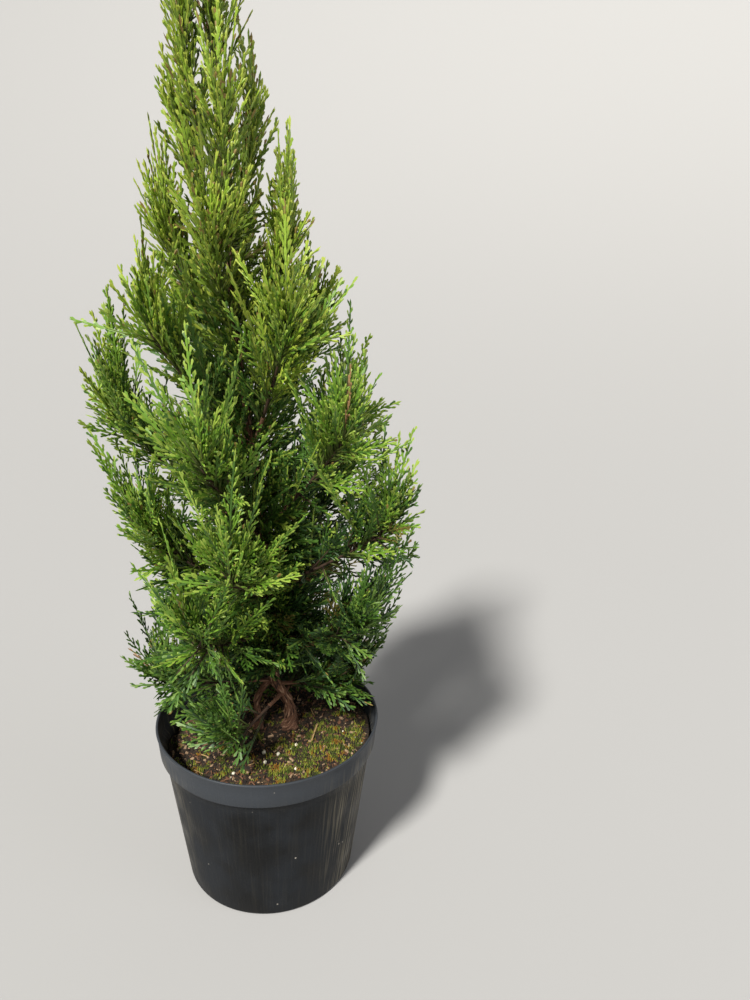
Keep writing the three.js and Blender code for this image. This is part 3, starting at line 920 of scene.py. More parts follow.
def blade_corners(run: float, size: float) -> Array:
    """The corners of the flat toothed blade that stands for a spray in the solids.

    Args:
        run: the length of the twig before it.
        size: the length of the blade.

    Returns:
        Points with the blade's length along X and its width along Y.
    """
    teeth = 3 if size > RULE.small_spray else 2
    width = size * RULE.width_share
    pitch = (RULE.last_tooth - RULE.rib_foot) / (teeth + RULE.rib_end)
    corners = [(run + size, 0, 0)]
    for side in (1, -1):
        for i in range(teeth + 1):
            share = RULE.rib_foot + pitch * i
            along = run + share * size
            full = math.sin(math.pi * (RULE.teeth_from + RULE.teeth_over * i / teeth))
            corners.append((along, side * (RULE.twig_radius + width * RULE.notch_share), 0))
            corners.append((along, 0, side * RULE.thickness / 2 * (1 - share / 2)))
            if i < teeth:
                point = run + (share + pitch * RULE.tooth_forward) * size
                corners.append((point, side * width * 0.5 * full, 0))
    return np.array(corners)


class Grower:
    """Grows the sprays of one mass by the seeded rule, and carries it on to finer twigs."""

    def __init__(self, plan: Plan, limbs: Array, finer: int) -> None:
        """Notes what the mass has to keep clear of.

        Args:
            plan: the mass.
            limbs: points on the bare boughs.
            finer: how many sprays grow beyond those of the solids.
        """
        self.plan = plan
        self.limbs = limbs
        self.finer = finer

    def twig_way(self, twig: int, attempt: int) -> tuple[Array, Array, Array]:
        """One way that a twig may take: forwards and to one side of its stem, and turned up.

        Args:
            twig: the twig's number.
            attempt: the number of the try.

        Returns:
            Where it starts, its direction, and the normal of its spray.
        """
        plan, tier = self.plan, self.plan.tier
        luck = [chance(plan.index, twig, 10 * attempt + use) for use in range(6)]
        if self.inner(twig):
            return self.trunk_way(luck)
        if self.rises(twig):
            return self.rising_way(luck)
        straight = twig == plan.sprays - 1
        added = twig >= plan.sprays
        stem = (1 - plan.start) * RULE.stem_end
        if straight:
            share = plan.start + RULE.last_twig * stem
        elif added:
            low = max(FINER.lowest, FINER.on_bough * plan.start)
            along = ((twig - plan.sprays + luck[5]) / self.finer) ** FINER.outward
            share = low + (plan.start + stem - low) * along
        else:
            share = plan.start + stem * (twig + RULE.first_twig) / (plan.sprays - 1)
        ahead, side, over = level_axes(heading(plan.line_at, share, RULE.ahead))
        turn = 2 * math.pi * luck[1]
        least, most = RULE.last_open if straight else tier.open
        opening = math.radians(least + (most - least) * luck[2])
        rise = FINER.lift_gain * tier.lift + FINER.lift_more if added else tier.lift
        lift = 0 if straight else rise * (RULE.least_lift + RULE.lift_play * luck[3])
        lean = math.sin(opening) * (math.cos(turn) * side + math.sin(turn) * over)
        way = unit(math.cos(opening) * ahead + lean + lift * UP)
        return plan.line_at(share), way, self.facing(way, luck[4], FINER.spin if added else RULE.spin)

    def facing(self, way: Array, luck: float, play: float = FINER.spin) -> Array:
        """The normal of the flat face of a spray that grows one way.

        Args:
            way: the direction of its length.
            luck: a number from 0 to 1.
            play: how far the spray turns about its own line, in degrees.

        Returns:
            The normal.
        """
        level = unit(np.cross(way, UP))
        spin = math.radians(play * (luck - 0.5)) + self.plan.tier.flat * math.pi / 2
        return level * math.cos(spin) + np.cross(way, level) * math.sin(spin)

    def inner(self, twig: int) -> bool:
        """Whether a twig grows on the trunk itself."""
        added = twig - self.plan.sprays
        return added >= 0 and added % FINER.from_trunk == 0 and isinstance(self.plan, MassPlan)

    def rises(self, twig: int) -> bool:
        """Whether a twig stands up from the outer part of its stem."""
        added = twig - self.plan.sprays
        return added >= 0 and added % FINER.from_trunk == 1 and self.plan.tier.lift > 0

    def rising_way(self, luck: list[float]) -> tuple[Array, Array, Array]:
        """One way that a twig may take that stands up from the outer part of its stem.

        Args:
            luck: numbers from 0 to 1.

        Returns:
            Where it starts, its direction, and the normal of its spray.
        """
        plan = self.plan
        share = plan.start + (1 - plan.start) * RULE.stem_end * (0.5 + 0.5 * luck[5])
        ahead, side, _ = level_axes(heading(plan.line_at, share, RULE.ahead))
        forward = FINER.rise_ahead[0] + FINER.rise_ahead[1] * luck[2]
        upward = FINER.rise_up[0] + FINER.rise_up[1] * luck[3]
        way = unit(forward * ahead + FINER.rise_side * (luck[1] - 0.5) * side + upward * UP)
        return plan.line_at(share), way, self.facing(way, luck[4])

    def trunk_way(self, luck: list[float]) -> tuple[Array, Array, Array]:
        """One way that a twig on the trunk may take, out of it and up.

        Args:
            luck: numbers from 0 to 1.

        Returns:
            Where it starts, its direction, and the normal of its spray.
        """
        plan = self.plan
        low = max(FINER.trunk_foot, TIER_CONES[plan.level][0])
        high = max(low + FINER.trunk_span, TIER_CONES[plan.level + 1][0])
        height = low + (high - low) * luck[5]
        out = level_way(math.radians(plan.middle + (2 * luck[1] - 1) * plan.half))
        start = trunk_line(height) + out * TRUNK.read(height + SIZES.soil_depth, 3)
        way = unit(out + (FINER.trunk_lift[0] + FINER.trunk_lift[1] * luck[2]) * UP)
        return start, way, self.facing(way, luck[4])

    def free_run(self, start: Array, way: Array, longest: float, loose: float) -> float:
        """How far a twig can run before it leaves the space of its mass.

        Args:
            start: where it leaves the stem.
            way: its direction.
            longest: the longest spray.
            loose: how far it may lie in a neighbour's space.

        Returns:
            The length of its free run.
        """
        steps = math.ceil(longest * (1 + RULE.twig_share) / RULE.probe_step)
        probes = start + way * (RULE.probe_step * np.arange(1, steps + 1))[:, None]
        inside = self.plan.holds(probes, RULE.clear, loose)
        free = steps if inside.all() else int(np.argmin(inside))
        return RULE.probe_step * free

    def fits(self, spray: Spray) -> bool:
        """Whether a spray's blade keeps to the mass's space, all but its root.

        Args:
            spray: the spray.

        Returns:
            True if it fits.
        """
        corners = blade_corners(spray.reach - spray.size, spray.size)
        corners = corners[np.linalg.norm(corners, axis=1) > RULE.twig_root]
        return bool(self.plan.holds(spray.start + corners @ spray.axes, RULE.clear).all())

    def spray_for(self, twig: int, attempt: int, full: float) -> Spray | None:
        """The longest spray that fits on a twig.

        Args:
            twig: the twig's number.
            attempt: the number of the try.
            full: the share of the free run that it takes.

        Returns:
            The spray, or None where none fits.
        """
        start, way, normal = self.twig_way(twig, attempt)
        added = twig >= self.plan.sprays
        loose = FINER.loose if added else 0.0
        longest = self.plan.tier.longest * (FINER.share if added else 1)
        reach = (self.free_run(start, way, longest, loose) - RULE.twig_end) * full
        size = min(reach * (1 - RULE.twig_share), longest)
        while size >= RULE.spray_shortest:
            spray = Spray(self.plan, twig, start, way, normal, reach, size, loose, self.inner(twig))
            if added or self.fits(spray):
                return spray
            size *= RULE.spray_shrink
        return None

    def best_spray(self, twig: int, grown: list[Spray]) -> Spray | None:
        """The best of several tries: a long spray that isn't crowded by those before it.

        Args:
            twig: the twig's number.
            grown: the sprays before it.

        Returns:
            The spray, or None where none fits.
        """
        best, best_score = None, 0.0
        inner = twig % 2 == 1 and twig != self.plan.sprays - 1
        low = RULE.shortest_reach
        full = low + (1 - low) * chance(self.plan.index, twig, 5) if inner else 1
        marks = np.concatenate([spray.marks for spray in grown]) if grown else np.full((1, 3), 1e6)
        for attempt in range(RULE.tries if twig < self.plan.sprays else FINER.tries):
            found = self.spray_for(twig, attempt, full)
            if found is None:
                continue
            apart = np.linalg.norm(found.marks[:, None] - marks[None], axis=2).min()
            score = found.size * (min(RULE.crowded, apart) / RULE.crowded) ** 2
            if score > best_score:
                best, best_score = found, score
        return best

    def touches_limb(self, spray: Spray) -> bool:
        """Whether a spray runs through a bare bough.

        Args:
            spray: the spray.

        Returns:
            True if it does.
        """
        if not len(self.limbs):
            return False
        line = spray.start + spray.way * (spray.reach * np.linspace(0.15, 1, 12))[:, None]
        return bool((np.linalg.norm(line[:, None] - self.limbs[None], axis=2) < FINER.limb_near).any())

    def grow(self) -> list[Spray]:
        """Grows the mass.

        Returns:
            Its sprays.
        """
        grown: list[Spray] = []
        for twig in range(self.plan.sprays + self.finer):
            found = self.best_spray(twig, grown)
            if found is not None and not self.touches_limb(found):
                grown.append(found)
        return grown


class Tint(PlainFinish):
    """Scale leaves, dealt out by spray: a thin wax makes them shine softly, less on dry ones."""

    # The old tints are older foliage that also serves as painted shade: they colour the sprays deep
    # inside the crown.
    SUN_OLD_SHADED = ("sunlit_scale_leaf_old", "#627a20", 0.5, WAX_IOR)
    SUN = ("sunlit_scale_leaf", "#85a12e", 0.48, WAX_IOR)
    SUN_YOUNG = ("sunlit_scale_leaf_young", "#9aa83d", 0.48, WAX_IOR)
    GREEN_OLD_SHADED = ("green_scale_leaf_old", "#3f601e", 0.52, WAX_IOR)
    GREEN = ("green_scale_leaf", "#648826", 0.5, WAX_IOR)
    GREEN_YOUNG = ("green_scale_leaf_young", "#889e3c", 0.48, WAX_IOR)
    DEEP_OLD_SHADED = ("deep_green_scale_leaf_old", "#28461a", 0.54, WAX_IOR)
    DEEP = ("deep_green_scale_leaf", "#42641d", 0.52, WAX_IOR)
    DEEP_YOUNG = ("deep_green_scale_leaf_young", "#607c31", 0.5, WAX_IOR)
    BRONZE = ("bronzed_scale_leaf", "#665f2a", 0.55, WAX_IOR)
    DEAD = ("dry_scale_leaf", "#94734e", 0.7, WAX_IOR)
    BUD = ("shoot_tip_bud", "#7d6a33", 0.6, WAX_IOR)


FAMILIES = (
    (Tint.DEEP_OLD_SHADED, Tint.DEEP, Tint.DEEP_YOUNG),
    (Tint.GREEN_OLD_SHADED, Tint.GREEN, Tint.GREEN_YOUNG),
    (Tint.SUN_OLD_SHADED, Tint.SUN, Tint.SUN_YOUNG),
)
TINTS = tuple(Tint)


# A shoot of scale leaves, in shares of its half width and of the length of a pair: its half width
# where a pair begins, how deep its flanks lie, the height of its ridge and how that swells, and
# where a pair is widest
NECK, FLANK, RIDGE, RIDGE_SWELL, WIDEST, LAST_WIDEST = 0.62, -0.3, 0.75, 0.25, 0.68, 0.7
MOST_PAIRS = 31
TIP_PAIRS, LONE_TIP = 1.05, 0.55  # how many pairs are in a tip's own tint, and from where on a lone one
LIMB_AHEAD = 0.01  # the share of a limb over which its direction is read
STICK_SIDES, STICK_STEPS = 4, 3
MIDDLE = np.array([0.5, 0, 0])  # of a stick or a shoot
LIMB_SIDES, LIMB_STEPS = 7, 14


def shoot_template(pairs: int) -> Template:
    """A shoot of scale leaves: a flat ridged cord, toothed where each pair of leaves ends.

    Its length runs from 0 to 1 along X, its half width is 1 on Y and its half thickness 1 on Z.

    Args:
        pairs: the number of pairs of leaves.

    Returns:
        The template.
    """
    shape = bmesh.new()
    ring = bmesh.ops.create_circle(shape, cap_ends=True, segments=3, radius=1)["verts"]
    for vert, (wide, deep) in zip(ring, ((NECK, FLANK), (0.0, 1 + FLANK), (-NECK, FLANK))):
        vert.co = Vector((0, wide, deep))
    edges = list(shape.edges)
    rows = []
    for pair in range(pairs - 1):
        rows += [((pair + WIDEST) / pairs, 1.0), ((pair + 1) / pairs, NECK)]
    rows += [((pairs - 1 + LAST_WIDEST) / pairs, 1.0), (1.0, 0.0)]
    for place, width in rows:
        grown = bmesh.ops.extrude_edge_only(shape, edges=edges)["geom"]
        ring = [part for part in grown if isinstance(part, BMVert)]
        edges = [part for part in grown if isinstance(part, BMEdge)]
        for vert in ring:
            side = 0.0 if abs(vert.co.y) < 1e-6 else math.copysign(1.0, vert.co.y)
            deep = FLANK if side else RIDGE + RIDGE_SWELL * width
            vert.co = Vector((place, side * width, deep * min(1.0, width * 2)))
    bmesh.ops.remove_doubles(shape, verts=shape.verts, dist=1e-5)
    return Template(shape)


def stick_template(sides: int, steps: int) -> Template:
    """A closed stick from 0 to 1 along X, with a radius of 1.

    Args:
        sides: how many sides it has.
        steps: how many rings its length is cut into.

    Returns:
        The template.
    """
    shape = bmesh.new()
    bmesh.ops.create_cone(shape, cap_ends=True, segments=sides, radius1=1, radius2=1, depth=1)
    along = [edge for edge in shape.edges if abs(edge.verts[0].co.z - edge.verts[1].co.z) > 0.5]
    bmesh.ops.subdivide_edges(shape, edges=along, cuts=steps - 1, use_grid_fill=True)
    quarter = Matrix.Rotation(math.pi / 2, 3, "Y")
    bmesh.ops.rotate(shape, verts=shape.verts, cent=(0, 0, 0), matrix=quarter)
    bmesh.ops.translate(shape, verts=shape.verts, vec=MIDDLE)
    return Template(shape)


@dataclass(frozen=True)
class SprayForm:
    """How a spray branches, at the foot of the crown and at its top."""

    angle: float  # how far the side shoots lean from the axis, in degrees
    pitch: float  # the distance between side shoots, which alternate
    side_share: float  # the longest side shoot's share of the spray
    side_longest: float  # no side shoot is longer
    sub_pitch: float  # the distance between the shoots on a side shoot
    sub_angle: float  # how far those lean, in degrees
    sub_share: float  # their share of what is left of their side shoot
    width: float

    def toward(self, other: "SprayForm", share: float) -> "SprayForm":
        """A form between this one and another.

        Args:
            other: the form at a share of 1.
            share: how near to it the new one is.

        Returns:
            The form.
        """
        mixed = {
            key: (1 - share) * getattr(self, key) + share * getattr(other, key)
            for key in self.__dataclass_fields__
        }
        return SprayForm(**mixed)


LOW_FORM = SprayForm(42, 5.0, 0.5, 25, 5.6, 36, 0.62, 2.3)
TOP_FORM = SprayForm(33, 5.0, 0.34, 23, 5.8, 34, 0.45, 2.45)


@dataclass(frozen=True)
class ShootRule:
    """How chance varies the shoots of a spray.

    Where a field has two numbers they are the least and what chance adds.
    """

    bare: float = 0.45  # the share of its twig before its axis begins
    axis_width: float = 1.12
    first: Two = (0.6, 0.5)
    step: Two = (0.85, 0.3)
    length: Two = (0.8, 0.4)
    shortest: Two = (1.0, 0.4)
    bend: Two = (0.1, 0.12)
    angle_play: float = 9.0  # degrees
    closing: float = 0.2  # how much less the side shoots lean at its tip

    # How long the side shoots are at its root, how fast they lengthen, and how they shorten again
    root_fullness: float = 0.45
    filling: float = 2.2
    ending: float = 0.75

    # The shoots on a side shoot
    sub_width: float = 0.94
    sub_bend: float = 0.12
    sub_first: Two = (0.8, 0.3)
    sub_step: Two = (0.55, 0.2)
    sub_length: Two = (0.85, 0.3)
    sub_shortest: float = 0.8

    # How a whole spray is bent, and how its shoots stand out of its plane
    twist: float = 0.5
    sway: float = 0.04
    hang: float = 0.1
    hang_play: float = 0.03
    roll: float = 0.35
    rise: float = 0.08


@dataclass(frozen=True)
class TintRule:
    """Which colours a spray's shoots get: those of its height, or darker ones on the dry right side,
    where painted shade falls.

    Where a field has two numbers they are for most of the crown and for its dry side.
    """

    # The dry right side, in painted shade: X from, heights over the rim, and how far its painted shade
    # shifts a spray's colours to darker ones
    dry_shaded_right: float = 25.0
    dry_shaded_from: float = 40.0
    dry_shaded_to: float = 260.0
    painted_shade_shift: float = 0.3
    zone_play: float = 0.5  # how far chance shifts it
    inner_from: float = 0.42  # the share of the reach within which shoots take the old colour, which there is also painted shade deep in the crown
    inner_play: float = 0.25

    # The shares of sprays that are dead, or dead or bronzed; of shoots in the older colour and, from
    # the other end, in the younger one; of tips in the younger one; and of buds
    dead: Two = (0.003, 0.02)
    bronzed: Two = (0.012, 0.08)
    older: float = 0.22
    younger: float = 0.86
    tips_inner: float = 0.25
    tips_low: float = 0.55
    tips_high: float = 0.75
    high_from: float = 240.0
    buds: float = 0.015
    buds_top: float = 0.12
    top_from: float = 430.0


SHOOTS, DEALT = ShootRule(), TintRule()
GOLDEN_ANGLE = 137.508

# Columns of a table of shoots, after which come its spray's bends, start and axes, and the length
# of its pairs of leaves
X, Y, ANGLE, LENGTH, WIDTH, BEND, ORDER, ROLL, RISE, BODY, TIP = range(11)
BENDS, START, AXES, PAIR = slice(11, 15), slice(15, 18), slice(18, 27), 27


def varied(play: Two, luck: Generator) -> float:
    """A number that is at least the first of two, with a random share of the second added."""
    return play[0] + play[1] * luck.random()


@dataclass
class Crown:
    """All the foliage: sprays of scale-leaf shoots, joined tier by tier."""

    pair_length: float = 4.6  # the length of a pair of scale leaves, a little over life size
    coarse: float = 11.0  # the same deep in the crown, where a shoot's teeth don't show
    shortest_shoot: float = 5.5
    fewest: int = 6  # a spray with fewer shoots in its mass's space is left out
    long_loose: float = 200.0  # how far a long spray may leave its mass's space
    flatness: float = 0.55  # a shoot's thickness as a share of its width
    shoot_taper: float = 0.2  # how much of its width it loses to its tip
    finer: int = 84  # the sprays of each mass beyond those of its solid
    leader_finer: int = 60  # the same for a leader
    outline: int = 360  # how many sprays end on the crown's outline
    outline_from: float = 4.0  # the height over the rim of the lowest of them
    outline_to: float = 700.0  # the height over the rim of the highest
    # The least share of the reach at which they end, and what chance adds
    outline_away: Two = (0.78, 0.24)
    green_from: float = 286.0  # the height over the rim from which all twigs have green bark
    green_twigs: float = 0.7  # the share of the lower twigs whose bark is still green
    margin: float = 0.2  # how far inside its mass's space a shoot's tip stays
    axis_over: float = 8.0  # how far a spray's axis runs past its last side shoot
    petiole_share: float = 0.6  # the share of a spray that its twig runs into
    # The radius of that twig in twig radii, and how much of it is lost
    petiole_taper: Two = (1.15, 0.55)
    # The radius of a mass's stem, and how much of it is lost
    stem_taper: Two = (1.6, 0.7)
    top: float = 520.0  # the height over the rim at which the form and tints of the top hold
    seed: int = 7
    sprays: list[Spray] = field(default_factory=list)
    petioles: list[Array] = field(default_factory=list)

    def grow(self, plans: list[Plan], limbs: Array) -> None:
        """Grows every mass.

        Args:
            plans: the masses in order.
            limbs: points on the bare boughs.
        """
        for plan in plans:
            finer = self.leader_finer if isinstance(plan, LeaderPlan) else self.finer
            self.sprays += Grower(plan, limbs, finer).grow()
        long_tips = np.array(LONG_TIPS, dtype=float)
        long_tips[:, 2] += SIZES.rim_height
        for number, tip in enumerate(np.concatenate([long_tips, self.outline_tips()])):
            spray = self.long_spray(plans, number, tip)
            if spray is not None:
                self.sprays.append(spray)
        LOG.info("crown: %d sprays on %d masses", len(self.sprays), len(plans))

    def outline_tips(self) -> Array:
        """Spreads tips evenly over the crown's outline, a golden angle on from one to the next.

        Returns:
            The tips, as rows of x, y and z.
        """
        tips = []
        for number in range(self.outline):
            height = self.outline_from + (self.outline_to - self.outline_from) * number / self.outline
            azimuth = (GOLDEN_ANGLE * number) % 360
            share = self.outline_away[0] + self.outline_away[1] * chance(number, 1, 3)
            away = float(reach_at(azimuth, height)) * share
            tips.append(trunk_line(height) + away * level_way(math.radians(azimuth)))
        return np.array(tips)

    def long_spray(self, plans: list[Plan], number: int, tip: Array) -> Spray | None:
        """A spray that ends at a given tip, from the stem below it that lets it stand up most.

        Args:
            plans: the masses.
            number: the spray's number among the long ones.
            tip: where it ends.

        Returns:
            The spray, or None where no stem is near enough.
        """
        best: tuple[float, Plan, Array] | None = None
        for plan in plans:
            for share in np.linspace(plan.start, plan.start + (1 - plan.start) * RULE.stem_end, 12):
                start = plan.line_at(share)
                reach = float(np.linalg.norm(tip - start))
                if FINER.long_near < reach < FINER.long_far:
                    upright = float(tip[2] - start[2]) / reach - reach / FINER.long_length
                    if best is None or upright > best[0]:
                        best = upright, plan, start
        if best is None or hides_foot(np.linspace(best[2], tip, 12)).any():
            return None
        _, plan, start = best
        reach = float(np.linalg.norm(tip - start))
        way = unit(tip - start)
        spin = math.radians(FINER.long_spin) * (chance(plan.index, number, 9) - 0.5)
        level = unit(np.cross(way, UP))
        normal = level * math.sin(spin) + np.cross(way, level) * math.cos(spin)
        size = reach * (1 - RULE.twig_share)
        return Spray(plan, -1 - number, start, way, normal, reach, size, self.long_loose, False)

    def shoots(self, spray: Spray, luck: Generator) -> Array:
        """Branches one spray into its shoots, flat in its own plane.

        Args:
            spray: the spray.
            luck: the seeded generator.

        Returns:
            Rows of x, y, angle, length, width, bend and order.
        """
        height = spray.middle[2] - SIZES.rim_height
        form = LOW_FORM.toward(TOP_FORM, float(np.clip(height / self.top, 0, 1)))
        first = SHOOTS.bare * (spray.reach - spray.size)
        total = spray.reach - first
        rows = [(first, 0.0, 0.0, total, form.width * SHOOTS.axis_width, 0.0, 0)]
        side = 1 if luck.random() < 0.5 else -1
        at = first + form.pitch * varied(SHOOTS.first, luck)
        while at < spray.reach - self.shortest_shoot:
            share = (at - first) / total
            filled = min(1.0, SHOOTS.root_fullness + SHOOTS.filling * share)
            full = filled * (1 - share) ** SHOOTS.ending
            length = min(form.side_share * spray.size, form.side_longest) * full
            length *= varied(SHOOTS.length, luck)
            length = max(length, self.shortest_shoot * varied(SHOOTS.shortest, luck))
            lean = form.angle * (1 - SHOOTS.closing * share) + SHOOTS.angle_play * (luck.random() - 0.5)
            bend = -side * varied(SHOOTS.bend, luck)
            rows.append((at, 0.0, side * math.radians(lean), length, form.width, bend, 1))
            rows += self.sub_shoots(rows[-1], side, form, luck)
            side = -side
            at += form.pitch * varied(SHOOTS.step, luck)
        return np.array(rows)

    def sub_shoots(
        self, parent: tuple[float, ...], side: int, form: SprayForm, luck: Generator
    ) -> list[tuple[float, ...]]:
        """Branches a side shoot once more, first on the side away from the spray's root.

        Args:
            parent: the side shoot's row.
            side: the side of the axis that it is on.
            form: how the spray branches.
            luck: the seeded generator.

        Returns:
            Rows like the parent's.
        """
        x, y, angle, length, width, bend, _ = parent
        rows = []
        at = form.sub_pitch * varied(SHOOTS.sub_first, luck)
        turn = -side
        while at < length - SHOOTS.sub_shortest * self.shortest_shoot:
            across = bend * length * (at / length) ** 2
            px = x + at * math.cos(angle) - across * math.sin(angle)
            py = y + at * math.sin(angle) + across * math.cos(angle)
            sub = max(form.sub_share * (length - at), self.shortest_shoot)
            sub *= varied(SHOOTS.sub_length, luck)
            lean = angle + turn * math.radians(form.sub_angle * varied(SHOOTS.sub_length, luck))
            rows.append((px, py, lean, sub, width * SHOOTS.sub_width, -turn * SHOOTS.sub_bend, 2))
            turn = -turn
            at += form.sub_pitch * varied(SHOOTS.sub_step, luck)
        return rows

    def tints(self, spray: Spray, count: int, luck: Generator) -> tuple[Array, Array]:
        """Deals out the colours of a spray's shoots and of their tips.

        Args:
            spray: the spray.
            count: how many shoots it has.
            luck: the seeded generator.

        Returns:
            Tint numbers of the shoots and of their tips.
        """
        middle = spray.middle
        height = float(middle[2]) - SIZES.rim_height
        # The dry right side has more dead sprays, and painted shade darkens its colours.
        dry = bool(middle[0] > DEALT.dry_shaded_right) and DEALT.dry_shaded_from < height < DEALT.dry_shaded_to
        zone = np.clip(height / self.top, 0, 1) * (len(FAMILIES) - 1)
        zone += DEALT.zone_play * (luck.random() - 0.5) - DEALT.painted_shade_shift * dry
        old, main, young = FAMILIES[int(np.clip(round(zone), 0, len(FAMILIES) - 1))]
        away = np.hypot(*(middle[:2] - trunk_line(height)[:2])) / reach_at(0.0, height)
        near = DEALT.inner_from + DEALT.painted_shade_shift * dry
        inner = spray.inner or away < near + DEALT.inner_play * luck.random()
        # Sprays deep in the crown take the old colour, which is painted shade there as well as older
        # foliage.
        body = old if inner else main
        dull = luck.random() + (spray.number < 0)
        if dull < DEALT.dead[dry]:
            body, young = Tint.DEAD, Tint.DEAD
        elif dull < DEALT.bronzed[dry]:
            body, young = Tint.BRONZE, main
        shoots = np.full(count, TINTS.index(body))
        other = luck.random(count)
        shoots[other < DEALT.older] = TINTS.index(old if body is main else body)
        shoots[other > DEALT.younger] = TINTS.index(young)
        outer = DEALT.tips_high if height > DEALT.high_from else DEALT.tips_low
        light = luck.random(count) < (DEALT.tips_inner if inner else outer)
        buds = luck.random(count) < (DEALT.buds_top if height > DEALT.top_from else DEALT.buds)
        tips = np.where(light, TINTS.index(young), shoots)
        return shoots, np.where(buds, TINTS.index(Tint.BUD), tips)

    def leaves(self) -> list[Object]:
        """Makes the joined leaves of each tier, in place of that tier's masses.

        Returns:
            The pieces.
        """
        templates = {pairs: shoot_template(pairs) for pairs in range(1, MOST_PAIRS + 1)}
        stick = stick_template(STICK_SIDES, STICK_STEPS)
        luck = default_rng(self.seed)
        groups: dict[str, list[Spray]] = {}
        for spray in self.sprays:
            groups.setdefault(spray.plan.tier.name, []).append(spray)
        pieces = []
        for tier, sprays in groups.items():
            masses = sorted({spray.plan.names[1] for spray in sprays})
            half = (len(masses) + 1) // 2
            for number, names in enumerate((masses[:half], masses[half:]), 1):
                joined = JoinedCopies()
                chosen = [spray for spray in sprays if spray.plan.names[1] in names]
                table = np.concatenate([self.placed(spray, luck, stick) for spray in chosen])
                pairs = np.clip(np.round(table[:, LENGTH] / table[:, PAIR]), 1, MOST_PAIRS).astype(int)
                for count in np.unique(pairs):
                    self.add_shoots(joined, templates[count], table[pairs == count], count)
                piece = joined.piece(f"{tier}_leaves_{number}", [tint.material() for tint in TINTS])
                pieces.append(dress(piece, "foliage", *names))
        return pieces

    def placed(self, spray: Spray, luck: Generator, stick: Template) -> Array:
        """Makes a spray's shoots, bent as it hangs, without those that leave its mass's space.

        Args:
            spray: the spray.
            luck: the seeded generator.
            stick: the template of a twig.

        Returns:
            Rows of a shoot's own numbers, its tints, and its spray's bends, start and axes.
        """
        shoots = self.shoots(spray, luck)
        count, side_shoots = len(shoots), shoots[:, ORDER : ORDER + 1] > 0
        straight = spray.number == spray.plan.sprays - 1
        hang = -SHOOTS.hang * abs(spray.normal[2]) * (1 - abs(spray.way[2]))
        twist, sway, play = luck.normal() * SHOOTS.twist, luck.normal() * SHOOTS.sway, luck.normal()
        bends = (0.0 if straight else 1.0) * np.array([twist, sway, hang + play * SHOOTS.hang_play])
        body, tips = self.tints(spray, count, luck)
        shared = np.concatenate([bends, [spray.reach], spray.start, spray.axes.ravel()])
        own = [
            shoots,
            luck.normal(size=(count, 1)) * SHOOTS.roll,
            luck.normal(size=(count, 1)) * SHOOTS.rise * side_shoots,
            body[:, None],
            tips[:, None],
            np.tile(shared, (count, 1)),
            np.where(side_shoots, self.coarse if spray.inner else self.pair_length, self.coarse),
        ]
        table = np.concatenate(own, axis=1)
        marks = self.world(table, np.array([[0.5, 0, 0], [1.0, 0, 0]])).reshape(-1, 3)
        inside = spray.plan.holds(marks, self.margin, spray.loose) & in_box(marks) & ~hides_foot(marks)
        inside = inside.reshape(count, 2).all(axis=1)
        inside[0] = False
        if inside.sum() < self.fewest:
            return table[:0]
        kept = shoots[inside]
        ends = kept[:, X] + np.cos(kept[:, ANGLE]) * kept[:, LENGTH]
        end = max(ends.max(), kept[:, X].max() + self.axis_over)
        table[0, LENGTH] = min(shoots[0, LENGTH], end - shoots[0, X])
        inside[0] = True
        self.petioles.append(self.petiole(spray, table[:1], stick))
        return table[inside]

    def petiole(self, spray: Spray, row: Array, stick: Template) -> Array:
        """The vertices of the twig that carries a spray, bent with it.

        Args:
            spray: the spray.
            row: the row of its axis.
            stick: the template of a twig.

        Returns:
            Their places.
        """
        twig = row.copy()
        twig[:, X] = 0.0
        most = self.petiole_share * (row[0, X] + row[0, LENGTH])
        twig[:, LENGTH] = min(spray.reach - self.petiole_share * spray.size, most)
        twig[:, [ROLL, RISE]] = 0
        thick, thinning = self.petiole_taper
        taper = RULE.twig_radius * (thick - thinning * stick.places[:, :1])
        places = np.concatenate([stick.places[:, :1], stick.places[:, 1:] * taper], axis=1)
        return self.world(twig, places)

    def world(self, table: Array, local: Array) -> Array:
        """Carries points on each shoot into the scene.

        Args:
            table: rows of shoots.
            local: points, or points for each shoot, with their length as a share and the rest
                in millimetres.

        Returns:
            Places, as shoots by points by 3.
        """
        x, y, angle, length, _, bend, _, roll, rise = (column[:, None] for column in table[:, :BODY].T)
        twist, sway, hang, reach = (column[:, None] for column in table[:, BENDS].T)
        local = np.broadcast_to(local, (len(table), *local.shape[-2:]))
        share, wide, deep = local[..., 0], local[..., 1], local[..., 2]
        across = wide * np.cos(roll) - deep * np.sin(roll) + bend * length * share**2
        depth = wide * np.sin(roll) + deep * np.cos(roll) + rise * length * share
        along = share * length
        px = x + along * np.cos(angle) - across * np.sin(angle)
        py = y + along * np.sin(angle) + across * np.cos(angle)
        part = px / reach
        turn = twist * part
        qy = py * np.cos(turn) - depth * np.sin(turn) + sway * reach * part**2
        qz = py * np.sin(turn) + depth * np.cos(turn) + hang * reach * part**2
        start, axes = table[:, START], table[:, AXES].reshape(-1, 3, 3)
        return start[:, None] + np.einsum("svk,skj->svj", np.stack([px, qy, qz], axis=-1), axes)

